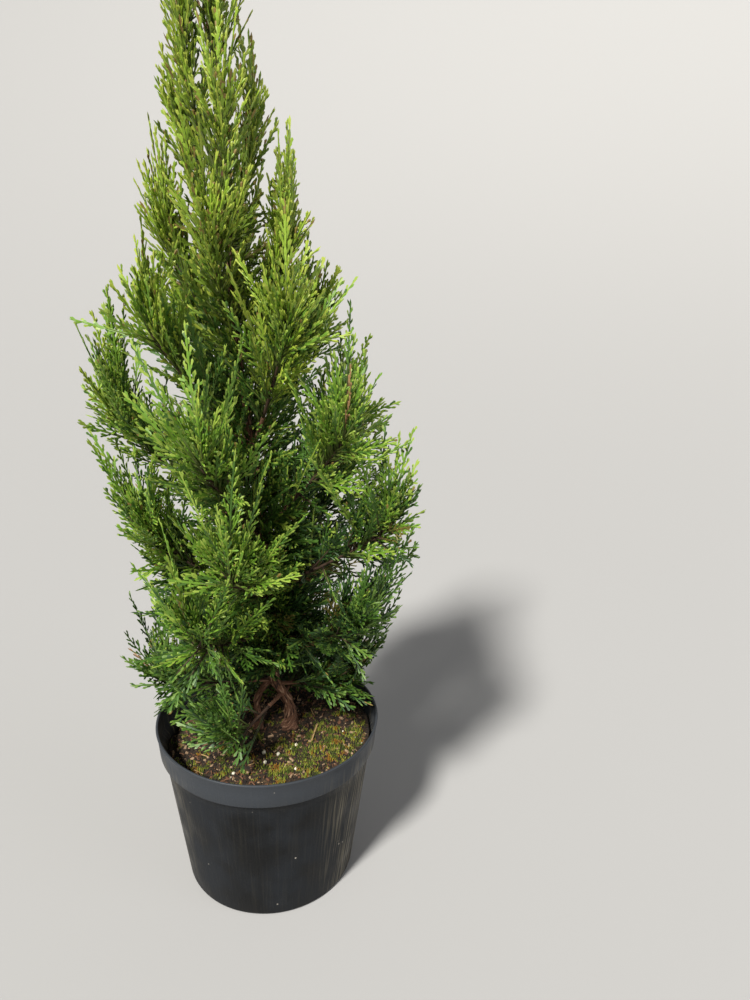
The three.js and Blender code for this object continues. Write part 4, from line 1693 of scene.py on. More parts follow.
    def add_shoots(self, joined: JoinedCopies, template: Template, table: Array, pairs: int) -> None:
        """Adds all the shoots with one number of leaf pairs.

        Args:
            joined: what they are joined into.
            template: their template.
            table: their rows.
            pairs: how many pairs of leaves they have.
        """
        half = table[:, WIDTH : WIDTH + 1] / 2
        scaled = template.places[None].repeat(len(table), axis=0)
        taper = 1 - self.shoot_taper * scaled[:, :, 0] * (pairs > 2)
        scaled[:, :, 1] *= half * taper
        scaled[:, :, 2] *= half * self.flatness * taper
        on_tip = template.middles[:, 0] > (1 - TIP_PAIRS / pairs if pairs > 1 else LONE_TIP)
        slots = np.where(on_tip[None, :], table[:, TIP : TIP + 1], table[:, BODY:TIP]).astype(int)
        joined.add(template, self.world(table, scaled), slots)

    def twigs(self, plans: list[Plan]) -> Object:
        """Makes the stems of the masses and the twigs that carry the sprays, joined.

        Args:
            plans: the masses.

        Returns:
            The piece.
        """
        joined = JoinedCopies()
        stick = stick_template(STICK_SIDES, STICK_STEPS)
        woods = [wood.material() for wood in TwigWood]
        places = np.concatenate(self.petioles)
        young = places[:, :, 2].mean(axis=1) > SIZES.rim_height + self.green_from
        luck = default_rng(self.seed + 1)
        young |= luck.random(len(places)) < self.green_twigs
        joined.add(stick, places, young.astype(int))
        stem = stick_template(LIMB_SIDES, LIMB_STEPS)
        for plan in plans:
            joined.add(stem, self.stem(plan, stem)[None], np.array([int(isinstance(plan, LeaderPlan))]))
        return dress(joined.piece("crown_twigs", woods, smooth=True), "bark")

    def stem(self, plan: Plan, template: Template) -> Array:
        """The vertices of the stem of a mass, which seats on its bough's tip or the trunk.

        Args:
            plan: the mass.
            template: the template of a stem.

        Returns:
            Their places.
        """
        seat = SIZES.gap / float(np.linalg.norm(plan.line_at(1) - plan.line_at(plan.start)))
        shares = plan.start + (1 - plan.start) * (seat + RULE.stem_end * template.places[:, 0])
        radii = self.stem_taper[0] - self.stem_taper[1] * template.places[:, 0]
        spots = []
        for share, radius, (_, wide, deep) in zip(shares, radii, template.places):
            out, side = square_to(heading(plan.line_at, share, LIMB_AHEAD))
            spots.append(plan.line_at(share) + radius * (wide * out + deep * side))
        return np.array(spots)


class TwigWood(PlainFinish):
    """The thin bark of twigs: smooth and dull, brown when old and green while young."""

    BROWN = ("brown_twig_bark", "#3d2b1c", 0.75, MATT_IOR)
    GREEN = ("green_twig_bark", "#4f5b22", 0.65, MATT_IOR)


@dataclass(frozen=True)
class FibrousBark:
    """Thuja bark: thin, matt, reddish brown, split into long fibrous strips along the limb."""

    name: str
    # The width of a strip, drawn a little coarse so that it shows
    strip_width: float = 1.7
    strip_length: float = 9.0
    furrow: float = 1.6  # the depth of the gaps between strips
    dark: str = "#20120c"  # the colour of the furrows: darker bark deepened with painted shade
    mid: str = "#74503a"  # the colour of the strips
    pale: str = "#c09a7c"  # the colour of worn, peeling edges

    def material(self) -> Material:
        """Reads the limb's own UV map, whose units are metres, so that strips follow the limb.

        Returns:
            The material.
        """
        material, shader = new_material(self.name, Roughness=0.88)
        tree = material.node_tree
        place = add_node(tree, "UVMap", {"uv_map": "limb"})
        stretch = (1 / (self.strip_width * MM), 1 / (self.strip_length * MM), 1)
        turned = add_node(tree, "Mapping", values={"Scale": stretch}, links={"Vector": place})
        pattern = {"Scale": 1.0, "Detail": 5.0, "Roughness": 0.6, "Distortion": 0.4}
        strips = add_node(tree, "TexNoise", values=pattern, links={"Vector": turned})
        # The dark colour falls where the relief is lowest: painted shade in the furrows.
        stops = ((0.38, self.dark), (0.48, self.mid), (0.56, self.mid), (0.66, self.pale))
        relief = {"Strength": 1.0, "Distance": self.furrow * MM}
        feed(
            shader,
            Base_Color=add_node(tree, "ValToRGB", links={"Fac": strips}, stops=stops),
            Normal=add_node(tree, "Bump", values=relief, links={"Height": strips}),
        )
        return material


@dataclass
class Limb:
    """A tapering limb swept along a line, with the bark's relief."""

    line_at: Callable[[float], Array]  # the point at a share of the length
    radius_at: Callable[[float], float]  # the radius at a share of the length
    sides: int
    steps: int
    relief: float = 0.12  # how far the bark's strips stand out, as a share of the radius
    flat_foot: bool = False  # whether its foot is level, as it is where it stands on the soil
    # How often the bark's strips change, round the limb and per millimetre of height
    strips: Two = (2.6, 0.035)
    knobs: Two = (1.3, 0.17)  # the same for its knobs
    knob_share: float = 1.1  # how far the knobs stand out, against the strips
    # One over the share of the length in which a level foot turns to the line
    foot_turn: float = 12.0

    def sweep(self, shape: BMesh) -> None:
        """Sweeps the limb into a bmesh, with its UV map in metres.

        Args:
            shape: the bmesh that gets it.
        """
        uv = shape.loops.layers.uv.get("limb") or shape.loops.layers.uv.new("limb")
        made = bmesh.ops.create_circle(shape, cap_ends=True, segments=self.sides, radius=1)
        rings = [made["verts"]]
        edges = [edge for edge in made["verts"][0].link_faces[0].edges]
        for _ in range(self.steps):
            grown = bmesh.ops.extrude_edge_only(shape, edges=edges)["geom"]
            edges = [part for part in grown if isinstance(part, BMEdge)]
            fresh = [part for part in grown if isinstance(part, BMVert)]
            joins = ((vert, edge) for vert in fresh for edge in vert.link_edges if edge not in edges)
            follow = {edge.other_vert(vert): vert for vert, edge in joins}
            rings.append([follow[vert] for vert in rings[-1]])
        bmesh.ops.contextual_create(shape, geom=edges)
        spots = {}
        for step, ring in enumerate(rings):
            share = step / self.steps
            here = self.line_at(share)
            ahead = heading(self.line_at, share, LIMB_AHEAD)
            if self.flat_foot:
                ahead = unit(UP + (ahead - UP) * min(1.0, share * self.foot_turn))
            out, side = square_to(ahead)
            for k, vert in enumerate(ring):
                turn = 2 * math.pi * k / self.sides
                around = math.cos(turn) * out + math.sin(turn) * side
                radius = self.radius_at(share)
                spot = Vector(here + radius * around)
                strips, knobs = (
                    Vector((around[0] * about, around[1] * about, spot.z * up))
                    for about, up in (self.strips, self.knobs)
                )
                rough = noise.noise(strips) + 0.5 * noise.noise(strips * 2.7)
                rough += self.knob_share * noise.noise(knobs) + 0.5 * noise.noise(knobs * 2.3)
                vert.co = Vector(here + radius * (1 + self.relief * rough) * around)
                spots[vert] = (turn * radius * MM, spot.z * MM, k)
        faces = {face for ring in rings for vert in ring for face in vert.link_faces}
        for face in faces:
            wraps = {spots[loop.vert][2] for loop in face.loops} >= {0, self.sides - 1}
            for loop in face.loops:
                u, v, k = spots[loop.vert]
                width = 2 * math.pi * self.radius_at(0.5) * MM if wraps and k == 0 else 0.0
                loop[uv].uv = (u + width, v)
        bmesh.ops.recalc_face_normals(shape, faces=list(faces))


@dataclass
class Wood:
    """The trunk, the second stem and the boughs."""

    bark: FibrousBark = FibrousBark("fibrous_thuja_bark")  # the finish of all of them
    stem_relief: float = 0.26  # how far the bark of the stems stands out, as a share of the radius
    bough_relief: float = 0.16  # the same for the boughs
    # The radius of a bough, and how much of it is lost to its tip
    bough_taper: Two = (2.4, 0.7)
    bough_sides: int = 10

    def standing(self, name: str, rows: Curve, sides: int, steps: int) -> Object:
        """Makes a limb that stands on the soil, cut level with it.

        Args:
            name: the solid that it stands for.
            rows: height over the soil, x, y and radius.
            sides: how many sides it has.
            steps: how many steps it is swept in.

        Returns:
            The piece.
        """

        def line_at(share: float) -> Array:
            """The point at a share of the height.

            Args:
                share: from 0 at the foot to 1 at the tip.

            Returns:
                The point.
            """
            over = rows.first + (rows.last - rows.first) * share
            foot = SIZES.soil_level + SIZES.gap
            return np.array([rows.read(over, 1), rows.read(over, 2), foot + over])

        def radius_at(share: float) -> float:
            """The radius at a share of the height."""
            return float(rows.read(rows.first + (rows.last - rows.first) * share, 3))

        shape = bmesh.new()
        Limb(line_at, radius_at, sides, steps, self.stem_relief, flat_foot=True).sweep(shape)
        return dress(piece_from_bmesh(f"{name}_bark", shape, [self.bark.material()]), "bark", name)

    def boughs(self, plans: list[Plan]) -> Object:
        """Makes the bare boughs, joined.

        Args:
            plans: the masses that they carry.

        Returns:
            The piece.
        """
        shape = bmesh.new()
        carried = [plan for plan in plans if plan.start]
        for plan in carried:
            Limb(
                lambda share, plan=plan: plan.line_at(plan.start * share),
                lambda share: self.bough_taper[0] - self.bough_taper[1] * share,
                sides=self.bough_sides,
                steps=LIMB_STEPS,
                relief=self.bough_relief,
            ).sweep(shape)
        names = [plan.names[0] for plan in carried]
        return dress(piece_from_bmesh("bough_bark", shape, [self.bark.material()]), "bark", *names)

    def bough_points(self, plans: list[Plan]) -> Array:
        """Points along the bare boughs, which sprays keep clear of."""
        shares = np.linspace(0.2, 1, 7)
        return np.array([plan.line_at(plan.start * s) for plan in plans if plan.start for s in shares])


ENDS = ("From Min", "From Max", "To Max")  # sockets of a node that maps one range to another


@dataclass(frozen=True)
class MouldedPolypropylene:
    """Carbon-black polypropylene, injection moulded: satin, with a fine grain.

    Weather has left pale vertical streaks and dust on it, mostly on its flanks and on the band, where
    they also stand for painted sheen.
    """

    streak_width: float = 2.2  # the width of a streak
    streak_length: float = 70.0  # its length
    cloud: float = 38.0  # the size of the dull patches
    # The grain of the mould, drawn coarser than life so that it shows
    grain: float = 0.9
    grain_depth: float = 0.3  # the depth of that grain
    drip_depth: float = 0.8  # how far the dried drips stand out
    sheen: float = 0.22  # how much of the light it mirrors, as the shader counts it
    band_edge: Two = (0.1485, 0.1515)  # the heights in metres between which the band's lighter colour, dust and painted sheen, begins
    black: str = "#030405"  # the plastic's own colour
    bloom: str = "#191c20"  # its colour where it has dulled
    band_dust_and_sheen: str = "#3e4247"  # the colour of the band under the rim: dust and painted sheen
    dust_and_sheen: str = "#a0967d"  # the colour of the pale streaks: dried drips and painted sheen
    speck: str = "#b9b2a4"  # the colour of lime specks

    def material(self) -> Material:
        """Builds the finish on the piece's own UV map: metres round the wall and up it.

        Returns:
            The material.
        """
        own = {"IOR": 1.49, "Specular_IOR_Level": self.sheen}
        material, shader = new_material("moulded_black_polypropylene", **own)
        tree = material.node_tree
        spot = add_node(tree, "TexCoord").outputs["Object"]
        parts = add_node(tree, "SeparateXYZ", links={"Vector": spot})
        wall = add_node(tree, "UVMap", {"uv_map": "wall"})
        stretch = (1 / (self.streak_width * MM), 1 / (self.streak_length * MM), 1)
        drawn = add_node(tree, "Mapping", values={"Scale": stretch}, links={"Vector": wall})
        streaks, clouds, grain = (
            add_node(tree, "TexNoise", {}, {"Scale": scale, "Detail": detail}, {"Vector": place})
            for scale, detail, place in (
                (1.0, 4.0, drawn),
                (1 / (self.cloud * MM), 5.0, spot),
                (1 / (self.grain * MM), 2.0, spot),
            )
        )
        dulled = ((0.4, self.black), (0.64, self.bloom))
        colour = first_output(add_node(tree, "ValToRGB", links={"Fac": clouds}, stops=dulled))
        for mask, tint, most in (
            # The band under the rim is lighter: dust and painted sheen.
            (self.band(tree, parts), self.band_dust_and_sheen, 0.7),
            (self.drips_and_painted_sheen(tree, parts, streaks), self.dust_and_sheen, 0.8),
            (self.splashes(tree, spot), self.speck, 0.9),
        ):
            share = add_node(tree, "Math", {"operation": "MULTIPLY"}, {1: most}, {0: mask})
            blend = {0: share, 6: colour}
            colour = add_node(tree, "Mix", {"data_type": "RGBA"}, {7: linear(tint)}, blend).outputs[2]
        gloss = {"From Min": 0.35, "From Max": 0.65, "To Min": 0.38, "To Max": 0.68}
        bumps = {"Strength": 0.25, "Distance": self.grain_depth * MM}
        moulded = add_node(tree, "Bump", values=bumps, links={"Height": grain})
        dried = {"Strength": 0.3, "Distance": self.drip_depth * MM}
        feed(
            shader,
            Base_Color=colour,
            Roughness=add_node(tree, "MapRange", values=gloss, links={"Value": clouds}),
            Normal=add_node(tree, "Bump", values=dried, links={"Height": streaks, "Normal": moulded}),
        )
        return material

    def band(self, tree: NodeTree, parts: Node) -> Node:
        """The share of the band's colour under the rim: dust and painted sheen."""
        foot = dict(zip(ENDS, self.band_edge))
        return add_node(tree, "MapRange", values=foot, links={"Value": parts.outputs["Z"]})

    def drips_and_painted_sheen(self, tree: NodeTree, parts: Node, streaks: Node) -> Node:
        """Pale streaks: dried drips, and painted sheen where the wall turns away on its flanks,
        strongest on the right.

        Args:
            tree: the material's node tree.
            parts: the place, taken apart.
            streaks: the pattern of the streaks.

        Returns:
            A node that gives the share of the streaks' pale colour.
        """
        right, left, sharp, below = (
            add_node(tree, "MapRange", {}, dict(zip(ENDS, (low, high, most))), {"Value": along})
            for low, high, most, along in (
                (0.045, 0.09, 0.9, parts.outputs["X"]),
                (-0.074, -0.1, 0.6, parts.outputs["X"]),
                (0.49, 0.68, 1.0, streaks),
                (0.17, 0.146, 1.0, parts.outputs["Z"]),
            )
        )
        # The flanks get the most: painted sheen where the light glances off the wall.
        sides = add_node(tree, "Math", {"operation": "ADD"}, links={0: right, 1: left})
        some = add_node(tree, "Math", {"operation": "ADD"}, {1: 0.02}, {0: sides})
        streaked = add_node(tree, "Math", {"operation": "MULTIPLY"}, links={0: some, 1: sharp})
        return add_node(tree, "Math", {"operation": "MULTIPLY"}, links={0: streaked, 1: below})

    def splashes(self, tree: NodeTree, spot: NodeSocket) -> Node:
        """A few pale specks of lime.

        Args:
            tree: the material's node tree.
            spot: the place.

        Returns:
            A node that gives the share of the specks' colour.
        """
        cells = add_node(tree, "TexVoronoi", values={"Scale": 75.0}, links={"Vector": spot})
        places = {"Scale": 28.0, "Detail": 0.0}
        where = add_node(tree, "TexNoise", values=places, links={"Vector": spot})
        dot, rare = (
            add_node(tree, "MapRange", {}, dict(zip(ENDS, (low, high))), {"Value": pattern})
            for low, high, pattern in ((0.085, 0.05, cells), (0.6, 0.63, where))
        )
        return add_node(tree, "Math", {"operation": "MULTIPLY"}, links={0: dot, 1: rare})


@dataclass
class NurseryPot:
    """The round pot: a thin tapered wall, a band under the rim, a rolled lip and drain holes."""

    base_radius: float = 87.5  # the radius of the underside's edge
    band_height: float = 27.0
    band_foot_radius: float = 109.5  # the radius of the band's lower edge
    body_top_radius: float = 105.5  # the radius of the wall under the band
    floor: float = 2.5  # the thickness of the floor
    foot_chamfer: float = 4.0  # the chamfer round the underside
    lip: float = 2.6  # the width of the rolled lip
    drains: int = 6
    drain_radius: float = 6.0
    drain_circle: float = 70.0  # the radius of the circle that they are on
    sides: int = 144
    drain_sides: int = 24
    foot_steps: int = 5  # how many steps the chamfer is drawn in
    wall_steps: int = 12  # the same for the wall
    lip_steps: int = 6  # the same for the lip
    inside_steps: int = 6  # the same for the inside
    # The band's outline, outward and up from its lower edge
    band_profile: tuple[Two, ...] = ((-1.0, 0.0), (-0.2, 0.4), (0.3, 1.5), (1.2, 13.0))
    # The outline between band and lip, outward from the rim and up from the lip
    neck_profile: tuple[Two, ...] = ((-1.2, -1.5), (-0.9, -0.6))
    level_share: float = 0.3  # how much of a way inward the wall's UV map counts as height
    ledge_out: float = 0.6  # how far the band's inside stands back
    ledge_over: float = 4.0  # where it meets the wall, over the band's lower edge
    ledge_under: float = 2.0  # where the wall's inside begins, under that edge

    def inner(self, z: float) -> float:
        """The inside radius of the wall at a height."""
        share = z / (SIZES.rim_height - self.band_height)
        return self.base_radius + (self.body_top_radius - self.base_radius) * share - SIZES.wall

    def outline(self) -> list[Two]:
        """The wall's outline from the middle of the underside round to the middle of the floor.

        Returns:
            Radii and heights.
        """
        rim, radius = SIZES.rim_height, SIZES.rim_radius
        band_foot, edge = rim - self.band_height, self.foot_chamfer
        rows: list[Two] = [(0.0, 0.0), (self.base_radius - edge, 0.0)]
        for step in range(1, self.foot_steps + 1):
            turn = math.pi / 2 * step / self.foot_steps
            rows.append((self.base_radius - edge + edge * math.sin(turn), edge - edge * math.cos(turn)))
        for step in range(1, self.wall_steps + 1):
            share = step / self.wall_steps
            out = self.base_radius + (self.body_top_radius - self.base_radius) * share
            rows.append((out, edge + (band_foot - edge) * share))
        rows += [(self.band_foot_radius + out, band_foot + up) for out, up in self.band_profile]
        rows += [(radius + out, rim - self.lip + up) for out, up in self.neck_profile]
        half = self.lip / 2
        for step in range(self.lip_steps + 1):
            turn = math.pi * step / self.lip_steps
            rows.append((radius - half + half * math.cos(turn), rim - half + half * math.sin(turn)))
        inside = self.band_foot_radius - SIZES.wall + self.ledge_out
        under = band_foot - self.ledge_under
        rows += [(inside, band_foot + self.ledge_over), (self.inner(band_foot), under)]
        for step in range(1, self.inside_steps + 1):
            z = under - (under - self.floor - edge) * step / self.inside_steps
            rows.append((self.inner(z), z))
        rows += [(self.inner(self.floor) - edge, self.floor), (0.0, self.floor)]
        return rows

    def build(self) -> Object:
        """Spins the pot, cuts its drain holes and dresses it.

        Returns:
            The piece.
        """
        shape = spun(self.outline(), self.sides)
        bmesh.ops.recalc_face_normals(shape, faces=shape.faces)
        pot = piece_from_bmesh("pot_shell", shape, [])
        cutter = self.drain_cutter()
        cut = pot.modifiers.new("drains", "BOOLEAN")
        cut.object, cut.solver = cutter, "EXACT"
        seen = pot.evaluated_get(bpy.context.evaluated_depsgraph_get())
        mesh = bpy.data.meshes.new_from_object(seen)
        pot.modifiers.clear()
        pot.data = mesh
        bpy.data.objects.remove(cutter)
        self.map_wall(mesh)
        mesh.materials.clear()
        mesh.materials.append(MouldedPolypropylene().material())
        mesh.name = "pot_shell"
        return dress(pot, "pot", "pot")

    def drain_cutter(self) -> Object:
        """Makes the round bars that cut the drain holes.

        Returns:
            The bars, as one object.
        """
        shape = bmesh.new()
        for number in range(self.drains):
            turn = (number + 0.5) * 2 * math.pi / self.drains
            spot = Vector((self.drain_circle * math.cos(turn), self.drain_circle * math.sin(turn), 0))
            bmesh.ops.create_cone(
                shape,
                cap_ends=True,
                segments=self.drain_sides,
                radius1=self.drain_radius,
                radius2=self.drain_radius,
                depth=4 * self.floor,
                matrix=Matrix.Translation(spot),
            )
        return piece_from_bmesh("drain_cutter", shape, [])

    def map_wall(self, mesh: Mesh) -> None:
        """Gives the wall a UV map in metres, round it and up it.

        Args:
            mesh: the pot's mesh.
        """
        uv = mesh.uv_layers.new(name="wall")
        radius = SIZES.rim_radius * MM
        for face in mesh.polygons:
            middle = math.atan2(face.center.y, face.center.x)
            for loop in face.loop_indices:
                spot = mesh.vertices[mesh.loops[loop].vertex_index].co
                turn = math.atan2(spot.y, spot.x) if spot.xy.length > 1e-6 else middle
                turn = middle + (turn - middle + math.pi) % (2 * math.pi) - math.pi
                inward = radius - spot.xy.length
                uv.data[loop].uv = (turn * radius, spot.z + self.level_share * inward)


class Litter(PlainFinish):
    """What lies on the soil: matt crumbs and bits, whose own faces give them their texture."""

    PEAT_DARK = ("peat_dark", "#1a110b", 0.95, MATT_IOR)
    PEAT = ("peat", "#2b1d0e", 0.95, MATT_IOR)
    BARK_CHIP = ("bark_chip", "#62402a", 0.9, MATT_IOR)
    PALE_CHIP = ("pale_bark_chip", "#9a7f62", 0.9, MATT_IOR)
    PERLITE = ("perlite", "#ddd6bf", 0.8, MATT_IOR)
    MOSS = ("moss", "#4c5a17", 0.85, MATT_IOR)
    MOSS_BRIGHT = ("moss_bright", "#8b9130", 0.85, MATT_IOR)
    MOSS_ORANGE = ("moss_orange", "#9a6a1c", 0.85, MATT_IOR)
    STRAW = ("dry_twig", "#a88a5c", 0.8, MATT_IOR)
    SHED = ("shed_scale_leaf", "#6b4a33", 0.85, MATT_IOR)


@dataclass(frozen=True)
class PeatSoil:
    """Peat potting soil: dark brown, fibrous, matt and crumbly."""

    crumb: float = 2.6  # the size of a crumb
    relief: float = 1.5  # how far crumbs stand out

    def material(self) -> Material:
        """Crumbs are told apart by colour and by relief, on Object coordinates.

        Returns:
            The material.
        """
        material, shader = new_material("peat_potting_soil", Roughness=0.95)
        tree = material.node_tree
        spot = add_node(tree, "TexCoord").outputs["Object"]
        pattern = {"Scale": 1 / (self.crumb * MM), "Detail": 5.0, "Roughness": 0.7}
        crumbs = add_node(tree, "TexNoise", values=pattern, links={"Vector": spot})
        # The darkest colour falls where the relief is lowest: painted shade between the crumbs, over
        # dark peat.
        stops = ((0.34, "#0b0704"), (0.47, "#241a0f"), (0.58, "#3c2d1b"), (0.72, "#7a623f"))
        relief = {"Strength": 1.0, "Distance": self.relief * MM}
        feed(
            shader,
            Base_Color=add_node(tree, "ValToRGB", links={"Fac": crumbs}, stops=stops),
            Normal=add_node(tree, "Bump", values=relief, links={"Height": crumbs}),
        )
        return material


def level_noise(x: Array, y: Array, layer: float, scale: float) -> Array:
    """Noise at places on the level, from one of its layers, at a scale per millimetre."""
    return np.array([noise.noise(Vector((a, b, layer)) * scale) for a, b in zip(x, y)])


@dataclass
class PottingSoil:
    """The soil in the pot, with its crumbs, chips, moss and shed bits."""

    pot: NurseryPot  # the pot that holds it
    relief: float = 3.0  # how far its top rises and falls
    swell: float = 0.06  # how fast its broad rises follow one another, per millimetre
    lumps: float = 0.2  # the same for the smaller ones on them
    crumbling: float = 0.7  # how far the finest ones stand out
    crumbling_scale: float = 0.6  # how fast those follow one another
    body_heights: tuple[float, ...] = (110.0, 60.0)  # where the body's side is cut
    off_wall: float = 4.0  # how far what lies on it keeps off the wall
    crumbs: int = 3600  # how many loose crumbs lie on it
    # The least size of a crumb, what chance adds, and the power of that chance
    crumb_size: tuple[float, float, float] = (0.6, 2.2, 2.4)
    crumb_shapes: int = 3
    crumb_sink: float = 0.2  # how deep their middles lie
    # How many of them are of each kind
    crumb_shares: dict[Litter, float] = field(
        default_factory=lambda: {
            Litter.PEAT_DARK: 0.3, Litter.PEAT: 0.32, Litter.BARK_CHIP: 0.24, Litter.PALE_CHIP: 0.14
        }
    )
    # How many bits lie on it, with the length and the radius of each kind
    shed: tuple[tuple[Litter, int, float, float], ...] = (
        (Litter.STRAW, 12, 14.0, 0.5),
        (Litter.SHED, 190, 4.2, 0.7),
        (Litter.PALE_CHIP, 60, 4.5, 1.2),
    )
    arch: float = 0.05  # how far each stands up in its middle, as a share of its length
    slope: float = 0.25  # how steeply they lie
    bit_rise: float = 0.8  # how far they lie over the soil's own surface
    bit_room: float = 0.6  # the share of its length that one keeps off the wall
    pearls: int = 14  # how many small grains of perlite there are
    pearl_size: Two = (0.6, 0.7)  # the least radius of one, and what chance adds
    pearl_rise: float = 0.4  # how far their middles lie over the surface
    # Where moss is thick, as x, y, spread and strength
    patches: tuple[tuple[float, float, float, float], ...] = (
        (62, -32, 28, 0.8),
        (24, -74, 24, 0.5),
        (-40, -62, 20, 0.3),
    )
    moss_tries: int = 15000  # how many moss shoots are tried
    moss_from: float = 0.31  # the cover from which moss grows
    # How often moss comes and goes, with finer patches on it, and how often it changes colour, per
    # millimetre
    moss_scales: tuple[float, float, float] = (0.1, 0.33, 0.16)
    # Where moss turns bright and where it turns orange
    moss_moods: Two = (0.0, 0.44)
    # The least height of a moss shoot, and what chance adds
    moss_height: Two = (1.3, 1.2)
    # How much more it may be in thick moss, and how fast it gets there
    cushion: Two = (2.6, 5.0)
    moss_radius: float = 0.6
    moss_lean: float = 0.25
    moss_sink: float = 0.8
    # The large grains of perlite, as x, y and radius
    grains: tuple[tuple[float, float, float], ...] = (
        (-6, -40, 2.6),
        (8, -42, 2.4),
        (-5, -53, 2.3),
        (26, -30, 2.7),
        (-35, -64, 2.2),
        (24, -68, 2.1),
    )
    grain_rise: float = 0.9  # how far their middles lie over the surface
    # The large dry twig, as x, y, azimuth in degrees and length
    straw: tuple[float, float, float, float] = (46, -14, 72, 24)
    straw_radius: float = 0.9
    straw_rise: float = 1.8
    straw_slope: float = 0.12
    rings: int = 52  # how many rings the top is cut into
    sides: int = 150
    seed: int = 11

    def top(self, x: float, y: float) -> float:
        """The height of the soil's uneven top.

        Args:
            x: the place to the right.
            y: the place to the back.

        Returns:
            The height over the underside of the pot.
        """
        plain = float(SIZES.soil_top(np.array(x), np.array(y)))
        coarse = noise.noise(Vector((x, y, 3.0)) * self.swell)
        coarse += 0.5 * noise.noise(Vector((x, y, 9.0)) * self.lumps)
        return plain + self.relief * coarse * self.seat_share(math.hypot(x, y))

    def seat_share(self, away: float) -> float:
        """How much of the unevenness there is: none in the middle, where the trunk stands."""
        return min(1.0, away / SIZES.seat_radius)

    def body(self) -> Object:
        """Spins the closed body of soil and roughens its top.

        Returns:
            The piece.
        """
        wall = self.pot.inner(SIZES.soil_level) - SIZES.gap
        floor = self.pot.floor + SIZES.gap
        rows = [(wall * ring / self.rings, SIZES.soil_level) for ring in range(self.rings + 1)]
        heights = (*self.body_heights, floor + self.pot.foot_chamfer)
        rows += [(self.pot.inner(z) - SIZES.gap, z) for z in heights]
        foot = self.pot.inner(self.pot.floor) - self.pot.foot_chamfer - SIZES.gap
        rows += [(foot, floor), (0.0, floor)]
        shape = spun(rows, self.sides)
        for vert in shape.verts:
            if vert.co.z > SIZES.soil_level - 1:
                fine = self.crumbling * noise.noise(vert.co * self.crumbling_scale)
                level = self.top(vert.co.x, vert.co.y)
                away = vert.co.xy.length
                if away > wall - 1:
                    fit = (self.pot.inner(level) - SIZES.gap) / away
                    vert.co.x *= min(1.0, fit)
                    vert.co.y *= min(1.0, fit)
                vert.co.z = level + fine * self.seat_share(away)
        bmesh.ops.recalc_face_normals(shape, faces=shape.faces)
        return dress(piece_from_bmesh("potting_soil", shape, [PeatSoil().material()]), "soil", "soil")

    def scatter(self, luck: Generator, count: int, sink: float) -> Array:
        """Places on the soil, spread evenly up to the wall.

        Args:
            luck: the seeded generator.
            count: how many.
            sink: how far under the top they are.

        Returns:
            Points, as count by 3.
        """
        away = (self.pot.inner(SIZES.soil_level) - self.off_wall) * np.sqrt(luck.random(count))
        turn = 2 * math.pi * luck.random(count)
        x, y = away * np.cos(turn), away * np.sin(turn)
        return np.array([(a, b, self.top(a, b) - sink) for a, b in zip(x, y)])

    def crumb_template(self, luck: Generator) -> Template:
        """A knobbly crumb of 20 faces and a radius of about 1.

        Args:
            luck: the seeded generator.

        Returns:
            The template.
        """
        shape = bmesh.new()
        bmesh.ops.create_icosphere(shape, subdivisions=1, radius=1)
        for vert in shape.verts:
            vert.co *= 0.75 + 0.5 * luck.random()
        return Template(shape)

    def litter(self) -> Object:
        """Joins the crumbs, bark chips, perlite, dry twigs and shed leaves that lie on the soil.

        Returns:
            The piece.
        """
        luck = default_rng(self.seed)
        joined = JoinedCopies()
        kinds = list(Litter)
        numbers = [kinds.index(kind) for kind in self.crumb_shares]
        least, more, power = self.crumb_size
        count = self.crumbs // self.crumb_shapes
        for _ in range(self.crumb_shapes):
            size = least + more * luck.random((count, 3)) ** power
            places = self.crumb_template(luck).places
            turned = np.einsum("cij,cvj->cvi", random_turns(luck, count), places[None] * size[:, None])
            spots = self.scatter(luck, count, self.crumb_sink)
            slots = luck.choice(numbers, count, p=list(self.crumb_shares.values()))
            joined.add(self.crumb_template(luck), turned + spots[:, None], slots)
        stick = stick_template(5, 3)
        for kind, count, length, radius in self.shed:
            places = self.bits(luck, stick, count, length, radius)
            joined.add(stick, places, np.full(len(places), kinds.index(kind)))
        size = self.pearl_size[0] + self.pearl_size[1] * luck.random((self.pearls, 1, 1))
        pearl = self.crumb_template(luck)
        small = pearl.places[None] * size + self.scatter(luck, self.pearls, -self.pearl_rise)[:, None]
        rows = [(x, y, self.top(x, y) + self.grain_rise, radius) for x, y, radius in self.grains]
        grains = np.array(rows)
        large = pearl.places[None] * grains[:, None, 3:] + grains[:, None, :3]
        for places in (small, large):
            joined.add(pearl, places, np.full(len(places), kinds.index(Litter.PERLITE)))
        x, y, turn, long = self.straw
        ahead = unit(level_way(math.radians(turn)) + self.straw_slope * UP)
        local = (stick.places - MIDDLE) * np.array([long, self.straw_radius, self.straw_radius])
        spot = np.array([x, y, self.top(x, y) + self.straw_rise])
        places = local @ level_axes(ahead) + spot
        joined.add(stick, places[None], np.array([kinds.index(Litter.STRAW)]))
        return dress(joined.piece("soil_litter", [kind.material() for kind in kinds]), "soil")

